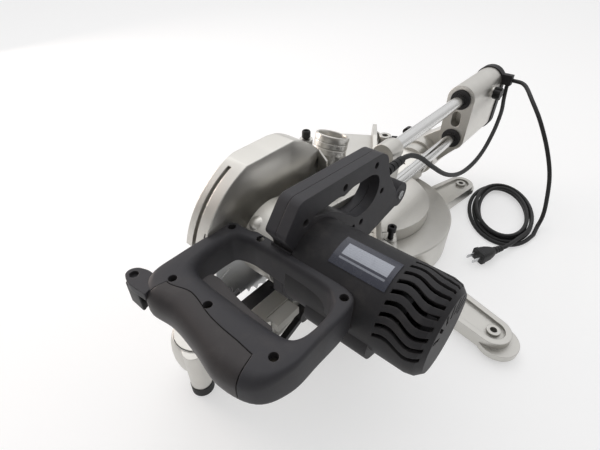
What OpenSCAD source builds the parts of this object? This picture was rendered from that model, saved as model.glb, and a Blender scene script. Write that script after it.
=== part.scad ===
/* [Stance] */
// Turn of the table away from square, the pose the saw is stored in
mitre_rest = 57; // [45:1:58]
// Largest mitre to the other side
mitre_left = 45; // [30:1:50]
// Height of the work table above the bench
table_z = 78; // [74:1:84]
// Travel of the head along its rails
slide_travel = 200; // [150:5:205]

/* [Blade] */
// Blade diameter
blade_d = 190; // [184:1:192]
// Blade body thickness
blade_t = 1.6; // [1.2:0.1:2.2]
// Number of blade teeth
blade_teeth = 40; // [24:2:60]
// How far the blade dips below the table
blade_dip = 13; // [8:1:15]
// Distance of the blade axis in front of the table pivot, head pulled forward
blade_y = -240; // [-250:1:-230]
// Arbor diameter
arbor_d = 16; // [12:1:18]

/* [Base] */
// Radius of the round base
drum_r = 140; // [136:1:146]
// Height of the low rear deck of the base
drum_z = 56; // [50:1:58]
// Wall of the base casting
base_wall = 6; // [4:0.5:8]
// Reach of each table wing from the pivot
wing_reach = 225; // [200:1:240]
// Radius of the bolt hole in each leg
leg_hole_r = 4.5; // [3:0.5:6]
// Thickness of the rubber feet
foot_t = 5; // [3:0.5:6]

/* [Turntable] */
// Radius of the turntable disc
disc_r = 100; // [96:1:104]
// Half width of the front arm
arm_half = 56; // [48:1:60]
// Reach of the front arm from the pivot
arm_reach = 392; // [370:1:400]
// Half width of the saw slot between the kerf plates
kerf_half = 6.5; // [5:0.5:8]
// Radius of the table pivot pin
pivot_pin_r = 8; // [6:0.5:10]

/* [Fence] */
// Top edge of the fence above the bench
fence_z = 107; // [100:1:108]
// Thickness of the fence plate
fence_t = 8; // [6:0.5:10]
// Radius of the hold-down post bore
vise_bore_r = 6; // [4:0.5:8]

/* [Rails] */
// Rail diameter
rail_d = 19; // [16:0.5:20]
// Sideways place of the rails
rail_x = 50; // [48:1:54]
// Height of the lower rail
rail_low_z = 127; // [126:1:130]
// Distance between the rail axes
rail_gap = 72; // [66:1:78]
// Front face of the rail holder
holder_y = 190; // [180:1:196]
// Length of the rail holder
holder_len = 128; // [110:1:140]

/* [Motor] */
// Radius of the motor housing
motor_r = 47; // [46:0.5:49]
// Height of the motor axis
motor_z = 178; // [176:1:180]
// Place of the motor axis along the rails
motor_y = -266; // [-268:1:-264]
// Outer end of the motor housing
motor_end_x = 236; // [226:1:240]
// Wall of the motor housing
motor_wall = 4; // [3:0.5:5]
// Teeth of the motor pinion
pinion_teeth = 8; // [7:1:9]
// Teeth of the spindle gear
gear_teeth = 42; // [38:1:44]

/* [Handles] */
// Top face of the loop handle
loop_z = 208; // [204:1:212]
// Thickness of the loop handle
loop_t = 36; // [30:1:40]
// Edge rounding of the loop handle
loop_round = 6; // [4:0.5:7]
// Width of the carry handle
carry_w = 25; // [22:1:28]
// Edge rounding of the carry handle
carry_round = 5; // [3:1:6]

/* [Cord] */
// Diameter of the cord
cord_d = 7; // [6:0.5:8]
// Turns in the coil
coil_turns = 4; // [2:2:6]

/* [Clearances] */
// Gap between parts that turn or slide past each other
run_gap = 0.4; // [0.3:0.05:0.6]
// Radial gap of a shaft in its bore
fit_gap = 0.05; // [0.02:0.01:0.1]

/* [Hidden] */
$fn = 96;
blade_r = blade_d/2;
blade_z = table_z - blade_dip + blade_r;
rail_r = rail_d/2;
rail_up_z = rail_low_z + rail_gap;
gear_dist = norm([blade_y - motor_y, blade_z - motor_z]);
gear_module = 2*gear_dist/(pinion_teeth + gear_teeth);
// Shared levels and places
base_z = foot_t + 1;
deck_t = 7;
plate_t = 8;
drum_seat = drum_z + run_gap;
barrel_r = 30;
barrel_y = drum_r + 2;
barrel_len = 26;
bevel_pin_r = 12;
flange_y = barrel_y + barrel_len + run_gap;
flange_r = 34;
flange_len = 34;
fence_y = 6;
fence_foot = table_z + run_gap;
post_left = [-165, 29];
post_right = [122, 29];
leg_right = [219, 168];
leg_left = [-142, 189];
front_feet = [[-88, -92], [88, -92]];
holder_end = holder_y + holder_len;
house_r = rail_r + 14.5;
bush_r = rail_r + 5;
bush_len = 26;
carriage_x = [rail_x - 16, rail_x + 16];
carriage_y = [-68, -44];
chop_y = -84;
chop_z = rail_low_z + rail_gap/2;
chop_pin_r = 6;
lug_r = 17;
case_x = [28, rail_x + 17];
cheek_x = [24.5, carriage_x[0] - run_gap];
carry_x = case_x[1];
carry_mid = carry_x + carry_w/2;
carry_end = carry_x + carry_w;
guard_x = [-20, cheek_x[0]];
nose_r = 24;
com_r = 18;
guard_r = blade_r + 13;
guard_in_r = blade_r + 6.5;
guard_flat_z = blade_z + guard_r - 6;
gear_x = [35, 41];
spindle_r = arbor_d/2;
shaft_r = 5;
loop_x = [8, 172];
loop_y = [motor_y - 158, motor_y - 34];
grip_seam_y = loop_y[0] + 30;
ear = [-1, loop_y[0] + 13];
arm_foot_at = [16, -arm_reach + 8];
lever_y = -250;
lever_len = 60;
lever_room = 25;
channel_z = table_z - blade_dip - 4;
channel_half = blade_dip + 1;

silver = "#c9c6bd";
plastic = "#2b2a2b";
steel = "#d5d8da";
rubber = "#1d1d1e";

// Extrusions along each axis: an outline in the other two, from one place to another
module yz(x0, x1) { translate([x0, 0, 0]) rotate([90, 0, 90]) linear_extrude(x1 - x0) children(); }
module xz(y0, y1) { translate([0, y1, 0]) rotate([90, 0, 0]) linear_extrude(y1 - y0) children(); }
module xy(z0, z1) { translate([0, 0, z0]) linear_extrude(z1 - z0) children(); }
module rod_x(x0, x1, y, z, r) { translate([x0, y, z]) rotate([0, 90, 0]) cylinder(h = x1 - x0, r = r); }
module rod_y(y0, y1, x, z, r) { translate([x, y0, z]) rotate([-90, 0, 0]) cylinder(h = y1 - y0, r = r); }
module rod_z(z0, z1, x, y, r) { translate([x, y, z0]) cylinder(h = z1 - z0, r = r); }
// A body of revolution about a line along X; outline points are [radius, x]
module spin_x(y, z) { translate([0, y, z]) rotate([0, 90, 0]) rotate_extrude() children(); }
module spot(p, r) { translate(p) circle(r = r); }

// Two circles and the straight sides that touch both
module strip(a, ra, b, rb) {
  along = (b - a)/norm(b - a);
  across = [-along[1], along[0]];
  lean = (ra - rb)/norm(b - a);
  side = sqrt(1 - lean*lean);
  up = lean*along + side*across;
  down = lean*along - side*across;
  spot(a, ra);
  spot(b, rb);
  polygon([a + ra*up, a + ra*down, b + rb*down, b + rb*up]);
}

// The base and fence stand turned away from the head by the stored mitre
module in_base() { rotate([0, 0, -mitre_rest]) children(); }

// Floor the swinging front arm and the rear bracket keep clear, in the base's own frame
module arm_side(turn, side) {
  shift = arm_half + 1.5;
  rotate(turn) translate([side > 0 ? shift : -1000 - shift, -500]) square(1000);
}
module bracket_sweep(turn) { rotate(turn) translate([-barrel_r - 2, 40]) square([2*barrel_r + 4, 240]); }
module wing_outline(side) {
  turn = side > 0 ? mitre_rest : -mitre_left;
  back = side > 0 ? -mitre_left : mitre_rest;
  difference() {
    intersection() {
      translate([side > 0 ? 60 : -wing_reach, -92]) square([wing_reach - 60, 132]);
      arm_side(turn, side);
    }
    circle(r = disc_r + 1.5);
    bracket_sweep(back);
    if (side > 0) rotate(turn) translate([arm_half, lever_y - lever_len - 2]) square([lever_room, lever_len + 16]);
  }
}
module wing_inset(side, wall) {
  intersection_for(d = [[wall, 0], [-wall, 0], [0, wall], [0, -wall]]) translate(d) wing_outline(side);
}
// A hollow wing, seated on the round base's deck and bored for its fence post
module wing(side, post) {
  difference() {
    xy(24, table_z) wing_outline(side);
    xy(20, table_z - plate_t) wing_inset(side, base_wall);
    xy(20, drum_z) circle(r = drum_r + fit_gap);
    rod_z(60, table_z + 1, post[0], post[1], 4 + fit_gap);
  }
}
module wing_left() { color(silver) in_base() wing(-1, post_left); }
module wing_right() { color(silver) in_base() wing(1, post_right); }
module leg(root, hole, pad) {
  out = (hole - root)/norm(hole - root);
  difference() {
    union() {
      xy(base_z, 26) strip(root, 31, hole, 23);
      xy(base_z, 15) spot(hole + 10*out, pad);
    }
    difference() {
      xy(22, 27) strip(root + 20*out, 21, hole, 15);
      xy(21, 27) spot(hole, 9);
    }
    rod_z(0, 40, hole[0], hole[1], leg_hole_r);
  }
}

module base_casting() {
  color(silver) in_base() {
    rotate_extrude() polygon([[pivot_pin_r + fit_gap, 14], [24, 14], [24, drum_z - deck_t],
      [drum_r - base_wall, drum_z - deck_t], [drum_r - base_wall, base_z], [drum_r, base_z],
      [drum_r, drum_z - 2], [drum_r - 2, drum_z], [pivot_pin_r + fit_gap, drum_z]]);
    for (k = [0:7]) rotate([0, 0, 45*k + 20]) translate([20, -2, 16]) cube([drum_r - 23, 4, drum_z - 20]);
    for (p = front_feet) rod_z(base_z, drum_z - 2, p[0], p[1], 14);
  }
}
// Two legs, each seated against the round base
module base_legs() {
  color(silver) in_base() difference() {
    union() {
      leg([105, 58], leg_right, 27);
      leg([-62, 108], leg_left, 22);
    }
    translate([0, 0, -1]) cylinder(h = 60, r = drum_r + run_gap/2);
  }
}

module fence_half(side, inner, ramp, post, post_top, post_r) {
  outer = wing_reach + 6;
  difference() {
    union() {
      xz(fence_y, fence_y + fence_t) scale([side, 1]) polygon([[inner, fence_foot], [outer, fence_foot],
        [outer, fence_z - 16], [outer - 14, fence_z], [ramp, fence_z], [inner, fence_foot + 4]]);
      xy(table_z, table_z + 7) scale([side, 1]) translate([124, fence_y]) square([wing_reach - 128, 31]);
      for (x = [140, 200]) yz(side*x - 3, side*x + 3)
        polygon([[fence_y + fence_t - 1, table_z + 5], [36, table_z + 5], [fence_y + fence_t - 1, fence_z - 6]]);
      rod_z(table_z, post_top, post[0], post[1], post_r);
    }
    children();
  }
}
module fence_left() {
  color(silver) in_base() fence_half(-1, 62, 168, post_left, fence_z + 2, 11.5) {
    rod_z(table_z - 1, fence_z + 5, post_left[0], post_left[1], vise_bore_r);
    rod_y(post_left[1] + 3, 60, post_left[0], 98, 3 + fit_gap);
  }
}
module fence_right() {
  color(silver) in_base() fence_half(1, 34, 82, post_right, table_z + 10, 9)
    rod_z(table_z - 1, fence_z, post_right[0], post_right[1], 4 + fit_gap);
}
// Socket-head screw standing on its shank
module cap_screw(p, z0, z1, r) {
  difference() {
    union() {
      rod_z(z0, z1 - 2*r, p[0], p[1], r);
      rod_z(z1 - 2*r, z1, p[0], p[1], 1.6*r);
    }
    translate([p[0], p[1], z1 - r]) cylinder(h = 2*r, r = 0.9*r, $fn = 6);
  }
}
module fence_bolts() { color(plastic) in_base() cap_screw(post_right, 62, fence_z + 2, 4); }
module rubber_feet() {
  color(rubber) in_base() {
    for (p = front_feet) rod_z(0, base_z, p[0], p[1], 13);
    for (p = [leg_right, leg_left]) leg_pad(p);
  }
}
// Ring pad under a leg, so the bolt passes through
module leg_pad(p) {
  translate([p[0], p[1], 0]) difference() {
    cylinder(h = base_z, r = 15);
    translate([0, 0, -1]) cylinder(h = base_z + 4, r = leg_hole_r + 1.5);
  }
}
module lobed_knob(r, h, lobes) {
  union() {
    cylinder(h = h, r = 0.72*r);
    for (k = [0:lobes - 1]) rotate([0, 0, 360*k/lobes]) translate([0.66*r, 0, 0]) cylinder(h = h, r = 0.34*r);
  }
}
module vise_knob() {
  color(plastic) in_base() translate([post_left[0], 0, 98]) rotate([-90, 0, 0]) {
    translate([0, 0, post_left[1] + 7]) cylinder(h = 12, r = 3);
    translate([0, 0, post_left[1] + 13]) lobed_knob(10, 11, 4);
  }
}

// Turntable with the front arm, rear bracket and bevel barrel
module arm_outline(inset) {
  half = arm_half - inset;
  tip = arm_reach - 30;
  polygon([[-half, -40], [-half, -300], [-30 + inset, -tip], [30 - inset, -tip], [half, -300], [half, -40]]);
  spot([0, -tip], 30 - inset);
}
module turntable() {
  color(silver) difference() {
    union() {
      difference() {
        xy(drum_seat, table_z) circle(r = disc_r);
        xy(drum_seat - 1, table_z - plate_t) difference() {
          circle(r = disc_r - plate_t);
          circle(r = 30);
          for (a = [40, 140, 220, 320]) rotate(a) translate([20, -4]) square([disc_r, 8]);
        }
        translate([0, 0, 62]) cylinder(h = table_z - plate_t - 62, r = 40);
      }
      difference() {
        union() {
          xy(drum_seat, table_z) arm_outline(0);
          xy(36, table_z) intersection() {
            arm_outline(0);
            translate([-200, -600]) square([400, 600 - drum_r - 6]);
          }
        }
        xy(20, table_z - plate_t) arm_outline(7);
        xy(20, table_z - plate_t) circle(r = disc_r - 4);
      }
      difference() {
        xy(14, table_z - 2) spot(arm_foot_at, 13);
        xy(10, 40) spot(arm_foot_at, 5);
      }
      yz(-barrel_r + 3, barrel_r - 3) polygon([[disc_r - 28, drum_seat], [barrel_y + 4, drum_seat],
        [barrel_y + 4, table_z + 24], [barrel_y - 14, table_z + 18], [disc_r - 12, table_z]]);
      rod_y(barrel_y, barrel_y + barrel_len, 0, table_z, barrel_r);
    }
    rod_y(barrel_y - 30, barrel_y + barrel_len + 5, 0, table_z, bevel_pin_r + fit_gap);
    translate([-kerf_half, -arm_reach + 40, channel_z]) cube([2*kerf_half, arm_reach + 6, 40]);
    translate([-channel_half, -arm_reach + 40, channel_z]) cube([2*channel_half, arm_reach - 26, table_z - channel_z - 4]);
    translate([-26, -arm_reach + 34, table_z - 4]) cube([52, arm_reach - 30, 5]);
    rod_z(50, 70, 0, 0, pivot_pin_r + fit_gap);
    translate([arm_half - 8, -300, table_z - 14]) cube([20, 40, 20]);
    rod_x(arm_half - 20, arm_half + 5, lever_y, 52, 5 + fit_gap);
  }
}
module table_pivot_pin() {
  color(steel) {
    rod_z(10, channel_z - run_gap, 0, 0, pivot_pin_r);
    rod_z(8, 14 - run_gap, 0, 0, pivot_pin_r + 6);
  }
}
module kerf_plate(side) {
  front = -arm_reach + 34.5;
  inner = kerf_half;
  difference() {
    translate([side > 0 ? inner : -25.5, front, table_z - 4]) cube([25.5 - inner, -front + 3.5, 4]);
    for (k = [0:4]) rod_z(table_z - 1.6, table_z + 1, side*20, front + 14 + 82*k, 3);
  }
}
module kerf_plate_left() { color(plastic) kerf_plate(-1); }
module kerf_plate_right() { color(plastic) kerf_plate(1); }
module mitre_pointer() {
  color("#e8e6df") translate([arm_half - 8 + 0.2, -299, table_z - 14]) difference() {
    cube([18, 38, 12]);
    translate([18, -1, 12]) rotate([0, 45, 0]) cube([8, 40, 8], center = false);
  }
}
module mitre_lock_lever() {
  color(plastic) translate([arm_half + 1, lever_y, 52]) {
    rotate([0, 90, 0]) cylinder(h = 12, r = 11);
    translate([3, -8, -4]) rotate([20, 0, 0]) {
      translate([0, -44, -3]) cube([8, 50, 8]);
      translate([4, -44, 1]) sphere(r = 7, $fn = 48);
    }
  }
  color(plastic) rod_x(arm_half - 7, arm_half + 2, lever_y, 52, 5);
}
module arm_foot() { color(rubber) rod_z(run_gap, 14, arm_foot_at[0], arm_foot_at[1], 13.6); }

// Bevel arm that holds the rails
module holder_outline(grow) {
  strip([rail_x, rail_up_z], house_r + grow, [rail_x, rail_low_z], house_r + grow - 1);
}
lock_y = holder_end - bush_len - 14;
lock_z = rail_up_z - 6;
flange_end = flange_y + flange_len + 30;
module rail_holder() {
  color(silver) difference() {
    union() {
      xz(holder_y, holder_end) holder_outline(0);
      xz(holder_y + 2, flange_end) strip([rail_x, rail_low_z], house_r - 2, [0, table_z], flange_r - 5);
      xz(flange_end + 18, holder_end - 12)
        strip([rail_x, rail_low_z], house_r - 3, [rail_x - 18, rail_low_z - 20], 12);
      rod_y(flange_y, flange_end, 0, table_z, flange_r);
      rod_x(rail_x, rail_x + house_r + 3, lock_y, lock_z, 10);
    }
    for (z = [rail_low_z, rail_up_z]) {
      rod_y(holder_y - 1, holder_end + 1, rail_x, z, rail_r + 2);
      rod_y(holder_y - 1, holder_y + 6 + bush_len, rail_x, z, bush_r);
      rod_y(holder_end - 6 - bush_len, holder_end + 1, rail_x, z, bush_r);
    }
    xz(holder_y - 1, holder_y + 22) strip([rail_x, rail_up_z - 30], 8, [rail_x, rail_low_z + 30], 8);
    rod_y(flange_y - 1, flange_end + 1, 0, table_z, bevel_pin_r + fit_gap);
    rod_x(rail_x, rail_x + house_r + 10, lock_y, lock_z, 4 + fit_gap);
  }
}
module rail_ring(y0, y1, r_out, gap) {
  for (z = [rail_low_z, rail_up_z]) difference() {
    rod_y(y0, y1, rail_x, z, r_out);
    rod_y(y0 - 1, y1 + 1, rail_x, z, rail_r + gap);
  }
}
module rail_bushings() {
  color("#b08d4a") {
    rail_ring(holder_y + 6, holder_y + 6 + bush_len, bush_r, fit_gap);
    rail_ring(holder_end - 6 - bush_len, holder_end - 6, bush_r, fit_gap);
  }
}
module rail_seals() {
  color(rubber) {
    rail_ring(holder_y, holder_y + 6, bush_r, 0.1);
    rail_ring(holder_y - 3, holder_y, bush_r + 2.5, 0.1);
    rail_ring(holder_end - 6, holder_end, bush_r, 0.1);
  }
}
module bevel_pin() {
  color(steel) {
    rod_y(barrel_y - 12, flange_end + 16, 0, table_z, bevel_pin_r);
  }
}
module slide_lock_knob() {
  color(plastic) {
    rod_x(rail_x + rail_r + run_gap, rail_x + house_r + 6, lock_y, lock_z, 4);
    translate([rail_x + house_r + 3 + run_gap, lock_y, lock_z]) rotate([0, 90, 0]) lobed_knob(11, 13, 6);
  }
}
module bevel_lock_lever() {
  color(plastic) xz(flange_end + run_gap, flange_end + 14) difference() {
    strip([0, table_z], 19, [-58, table_z + 10], 9);
    spot([0, table_z], bevel_pin_r + fit_gap);
  }
}

// Sliding carriage and rails
rail_front = carriage_y[0] + 4;
plate_y = holder_end + run_gap;
plate_back = plate_y + 16;
module upper_rail() { color(steel) rod_y(rail_front, plate_back - 4, rail_x, rail_up_z, rail_r); }
module lower_rail() { color(steel) rod_y(rail_front, plate_back - 4, rail_x, rail_low_z, rail_r); }
module carriage() {
  color(silver) difference() {
    union() {
      xz(carriage_y[0], carriage_y[1]) strip([rail_x, rail_up_z], 16, [rail_x, rail_low_z], rail_r + 5);
      rod_x(carriage_x[0], carriage_x[1], chop_y, chop_z, lug_r);
      translate([carriage_x[0], chop_y, chop_z - 15]) cube([carriage_x[1] - carriage_x[0], 30, 30]);
    }
    for (z = [rail_low_z, rail_up_z]) rod_y(rail_front, 0, rail_x, z, rail_r);
    rod_x(0, 100, chop_y, chop_z, chop_pin_r + fit_gap);
  }
}
module rail_collars() { color(silver) rail_ring(carriage_y[1], carriage_y[1] + 7, rail_r + 5, 0); }
module end_plate() {
  color(plastic) difference() {
    xz(plate_y, plate_back) holder_outline(2);
    for (z = [rail_low_z, rail_up_z]) rod_y(plate_y - 1, plate_back - 4, rail_x, z, rail_r);
  }
}
clip = [rail_x + house_r + 2, plate_y + 8, rail_up_z + 6];
module cord_clip() {
  color(plastic) difference() {
    translate([clip[0] - 6, plate_y + 2, clip[2] - 9]) cube([20, 12, 18]);
    xz(plate_y - 1, plate_back + 1) holder_outline(2);
  }
}

// Head: gear case, arm and hinge cheek
gear_pocket_r = gear_dist - 2;
module head_casting() {
  color(silver) difference() {
    union() {
      yz(case_x[0], case_x[1]) {
        strip([motor_y, motor_z], 44, [blade_y, blade_z], 33);
        strip([blade_y + 12, blade_z + 8], 34, [chop_y - 46, chop_z + 2], 20);
      }
      rod_x(cheek_x[0], case_x[0] + 1, blade_y, blade_z, 33);
      rod_x(11.5, case_x[0], blade_y, blade_z, nose_r);
      yz(cheek_x[0], cheek_x[1]) strip([chop_y - 68, chop_z + 2], 20, [chop_y, chop_z], lug_r);
      rod_y(loop_y[1] + 12, -150, 36, 206, 11);
      translate([36, loop_y[1] + 12, 206]) sphere(r = 11);
    }
    rod_x(gear_x[0] - 1, gear_x[1] + 1, blade_y, blade_z, gear_pocket_r);
    rod_x(gear_x[0] - 1, gear_x[1] + 1, motor_y, motor_z, 9);
    rod_x(10, gear_x[0], blade_y, blade_z, 14);
    rod_x(gear_x[1], gear_x[1] + 10, blade_y, blade_z, 11);
    rod_x(gear_x[1], case_x[1] + 1, motor_y, motor_z, 8);
    rod_x(cheek_x[0] - 1, cheek_x[1] + 1, chop_y, chop_z, chop_pin_r + fit_gap);
  }
}
module sector(from, to, r) {
  n = 12;
  polygon(concat([[0, 0]], [for (k = [0:n]) let (a = from + (to - from)*k/n) r*[cos(a), sin(a)]]));
}
chute = [0, -131, 184];
chute_tilt = 18;
chute_seat = 27;
chute_r = 17;
port_r = 18;
stop_bolt = [-8, -160];
stop_z = 241;
module on_chute() { translate(chute) rotate([-chute_tilt, 0, 0]) children(); }
module upper_guard() {
  color(silver) difference() {
    union() {
      intersection() {
        spin_x(blade_y, blade_z) polygon([[26, guard_x[0]], [guard_r - 3, guard_x[0]], [guard_r, guard_x[0] + 3],
          [guard_r, guard_x[1] - 13], [guard_r - 9, guard_x[1]], [26, guard_x[1]]]);
        yz(-50, 50) translate([blade_y, blade_z]) sector(12, 164, 160);
        translate([-50, -400, 0]) cube([100, 400, guard_flat_z]);
      }
      on_chute() translate([0, 0, -24]) cylinder(h = 24 + chute_seat, r = 22);
      rod_z(214, stop_z, stop_bolt[0], stop_bolt[1], 8);
    }
    spin_x(blade_y, blade_z) polygon([[0, guard_x[0] + 3.5], [guard_in_r, guard_x[0] + 3.5],
      [guard_in_r, guard_x[1] - 8], [guard_in_r - 5, guard_x[1] - 3.5], [0, guard_x[1] - 3.5]]);
    intersection() {
      spin_x(blade_y, blade_z) polygon([[guard_r - 4, -8], [guard_r + 5, -8], [guard_r + 5, -3], [guard_r - 4, -3]]);
      yz(-50, 50) translate([blade_y, blade_z]) sector(114, 170, 160);
    }
    on_chute() translate([0, 0, -50]) cylinder(h = 100, r = chute_r);
    translate([loop_x[0] - 0.6, loop_y[1] - 100, 0]) cube([50, 100.6, loop_z + 2]);
    rod_z(226, stop_z + 1, stop_bolt[0], stop_bolt[1], 3 + fit_gap);
  }
}
module dust_port() {
  color(silver) on_chute() translate([0, 0, chute_seat]) rotate_extrude() polygon([[port_r, 0], [24, 0], [24, 4],
    [22, 6], [22, 9], [20.5, 10], [20.5, 12], [22, 13], [22, 16], [20.5, 17], [20.5, 19], [22, 20], [22, 24], [port_r, 24]]);
}

// Motor
vent_len = 42;
module vent_slot(len, w) {
  n = 10;
  mid = [for (k = [0:n]) [len*k/n, 3.2*sin(360*k/n)]];
  polygon(concat([for (p = mid) p + [0, w/2]], [for (k = [n:-1:0]) mid[k] - [0, w/2]]));
}
module motor_housing() {
  x0 = carry_end;
  x1 = motor_end_x;
  color(plastic) difference() {
    union() {
      spin_x(motor_y, motor_z) polygon([[motor_r - motor_wall, x0], [motor_r, x0], [motor_r, x1 - 14],
        [motor_r - 2, x1 - 6], [motor_r - 8, x1], [0, x1], [0, x1 - 4], [8, x1 - 4], [8, x1 - 18], [15, x1 - 18],
        [15, x1 - 4], [motor_r - motor_wall - 8, x1 - 4], [motor_r - motor_wall, x1 - 14]]);
      difference() {
        yz(x0 + 26, x0 + 96) strip([motor_y - 26, motor_z - 22], 22, [motor_y - 14, motor_z - 26], 22);
        rod_x(x0, x1, motor_y, motor_z, motor_r - 1);
      }
    }
    for (a = [-48:13:82]) translate([0, motor_y, motor_z]) rotate([a, 0, 0])
      translate([x1 - 4 - vent_len, 0, motor_r - 10]) linear_extrude(16) vent_slot(vent_len, 4.2);
    for (a = [-60:20:60]) translate([0, motor_y, motor_z]) rotate([a, 0, 0])
      translate([x1 - 6, -2, 20]) cube([12, 4, 17]);
  }
}
stator_x = [carry_end + 30, carry_end + 92];
core_r = 26;
module stator() {
  r = motor_r - motor_wall - fit_gap;
  color("#6b4a35") spin_x(motor_y, motor_z)
    polygon([[core_r + 1, stator_x[0]], [r, stator_x[0]], [r, stator_x[1]], [core_r + 1, stator_x[1]]]);
}
module bearing(x0, w, y, z, r_in, r_out) {
  a = r_in + fit_gap;
  b = r_out - fit_gap;
  spin_x(y, z) polygon([[a, x0], [b, x0], [b, x0 + w], [a, x0 + w]]);
}
// Ring bearings of the motor shaft and of the blade spindle
module bearings() {
  color(steel) {
    bearing(carry_x + 6, 9, motor_y, motor_z, shaft_r, 13);
    bearing(motor_end_x - 16, 8, motor_y, motor_z, shaft_r, 8);
    bearing(cheek_x[0], 9, blade_y, blade_z, spindle_r, 14);
    bearing(gear_x[1] + 1, 8, blade_y, blade_z, spindle_r, 11);
  }
}
module brushes() {
  far = motor_r - motor_wall - 0.4;
  near = com_r + run_gap;
  color("#3c3c3e") for (s = [-1, 1])
    translate([stator_x[1] + 8, motor_y + (s > 0 ? near : -far), motor_z - 4]) cube([9, far - near, 8]);
}
module armature() {
  color(steel) {
    rod_x(gear_x[1] + 1, motor_end_x - 7, motor_y, motor_z, shaft_r);
    rod_x(stator_x[0], stator_x[1], motor_y, motor_z, core_r);
    rod_x(stator_x[1] + 6, stator_x[1] + 19, motor_y, motor_z, com_r);
  }
}
module cooling_fan() {
  x0 = carry_end + 8;
  color("#555a5e") difference() {
    union() {
      rod_x(x0, x0 + 3, motor_y, motor_z, 37);
      rod_x(x0, x0 + 12, motor_y, motor_z, 11);
      for (k = [0:9]) translate([x0, motor_y, motor_z]) rotate([36*k, 0, 0]) translate([0, 14, -1]) cube([12, 21, 2]);
    }
    rod_x(x0 - 1, x0 + 20, motor_y, motor_z, shaft_r + fit_gap);
  }
}
// Spur gear outline with short, slim teeth
module gear_outline(teeth, m, turn) {
  pitch = m*teeth/2;
  tooth = 360/teeth;
  rotate(turn) polygon([for (k = [0:teeth - 1], p = [[-0.34, -1.15], [-0.13, 0.7], [0.13, 0.7], [0.34, -1.15]])
    (pitch + p[1]*m)*[cos(tooth*(k + p[0])), sin(tooth*(k + p[0]))]]);
}
mesh_turn = atan2(motor_z - blade_z, motor_y - blade_y);
module spindle_gear() {
  color(steel) yz(gear_x[0], gear_x[1]) translate([blade_y, blade_z]) difference() {
    gear_outline(gear_teeth, gear_module, mesh_turn + 180/gear_teeth);
    circle(r = spindle_r + fit_gap);
  }
}
module motor_pinion() {
  color(steel) yz(gear_x[0], gear_x[1] + 1) translate([motor_y, motor_z])
    gear_outline(pinion_teeth, gear_module, mesh_turn + 180);
}
module spindle() {
  color(steel) {
    rod_x(-6, gear_x[1] + 9, blade_y, blade_z, spindle_r);
  }
}

// Blade group
module blade() {
  pitch = 360/blade_teeth;
  color(steel) yz(-blade_t/2, blade_t/2) translate([blade_y, blade_z]) difference() {
    polygon([for (k = [0:blade_teeth - 1], p = [[0, 0], [0.12, -7], [0.45, -6.2], [0.75, -3]])
      (blade_r + p[1])*[cos(pitch*(k + p[0])), sin(pitch*(k + p[0]))]]);
    circle(r = spindle_r + fit_gap);
    for (k = [0:3]) rotate(90*k + 20) translate([blade_r - 26, -0.6]) square([40, 1.2]);
  }
}
module blade_flanges() {
  color(steel) {
    bearing(-6, 6 - blade_t/2, blade_y, blade_z, spindle_r, 22);
    bearing(blade_t/2, 8, blade_y, blade_z, spindle_r, 22);
  }
}
module blade_bolt() {
  color(plastic) difference() {
    rod_x(-12, -6, blade_y, blade_z, 11);
    translate([-13, blade_y, blade_z]) rotate([0, 90, 0]) cylinder(h = 5, r = 5, $fn = 6);
  }
}
lower_in_r = blade_r + 1.8;
lower_out_r = guard_in_r - 1;
module lower_guard() {
  color("#c7cacb") difference() {
    intersection() {
      spin_x(blade_y, blade_z) polygon([[lower_in_r - 20, -12], [lower_out_r, -12], [lower_out_r, 6.5],
        [34, 6.5], [30, 14], [nose_r + fit_gap, 14], [nose_r + fit_gap, 12], [28.5, 12], [32.5, 4.5], [lower_in_r, 4.5], [lower_in_r, -10], [lower_in_r - 20, -10]]);
      yz(-50, 50) translate([blade_y, blade_z]) union() {
        sector(20, 160, 130);
        circle(r = 34);
      }
    }
  }
}

// Rounded bars for the handles, drawn flat with their thickness h upwards and edge rounding e
module soft_box(w, h, e) {
  square([w - 2*e, h], center = true);
  square([w, h - 2*e], center = true);
  for (x = [e - w/2, w/2 - e], y = [e - h/2, h/2 - e]) translate([x, y]) circle(r = e);
}
module soft_run(a, b, w, h, e) {
  translate([a[0], a[1], h/2]) rotate([0, 0, atan2(b[1] - a[1], b[0] - a[0])]) rotate([90, 0, 90])
    linear_extrude(norm(b - a)) soft_box(w, h, e);
}
module soft_bend(c, r, w, from, h, e) {
  translate([c[0], c[1], h/2]) rotate([0, 0, from]) rotate_extrude(angle = 90) translate([r + w/2, 0]) soft_box(w, h, e);
}

// Carry handle, split down the middle
module carry_outline() {
  $fn = 48;
  difference() {
    union() {
      polygon([[-312, 180], [-314, 211], [-322, 228], [-306, 255], [-284, 262], [-136, 241], [-122, 233], [-116, 212],
        [chop_y - 12, chop_z + 10], [chop_y - 10, chop_z - 14], [-150, 140], [motor_y, motor_z - 40]]);
      spot([motor_y, motor_z], motor_r + 3);
      spot([chop_y, chop_z], lug_r);
    }
    polygon([[-268, 235], [-152, 219], [-145, 210], [-152, 192], [-204, 200], [-226, 216], [-254, 231.5]]);
  }
}
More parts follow.
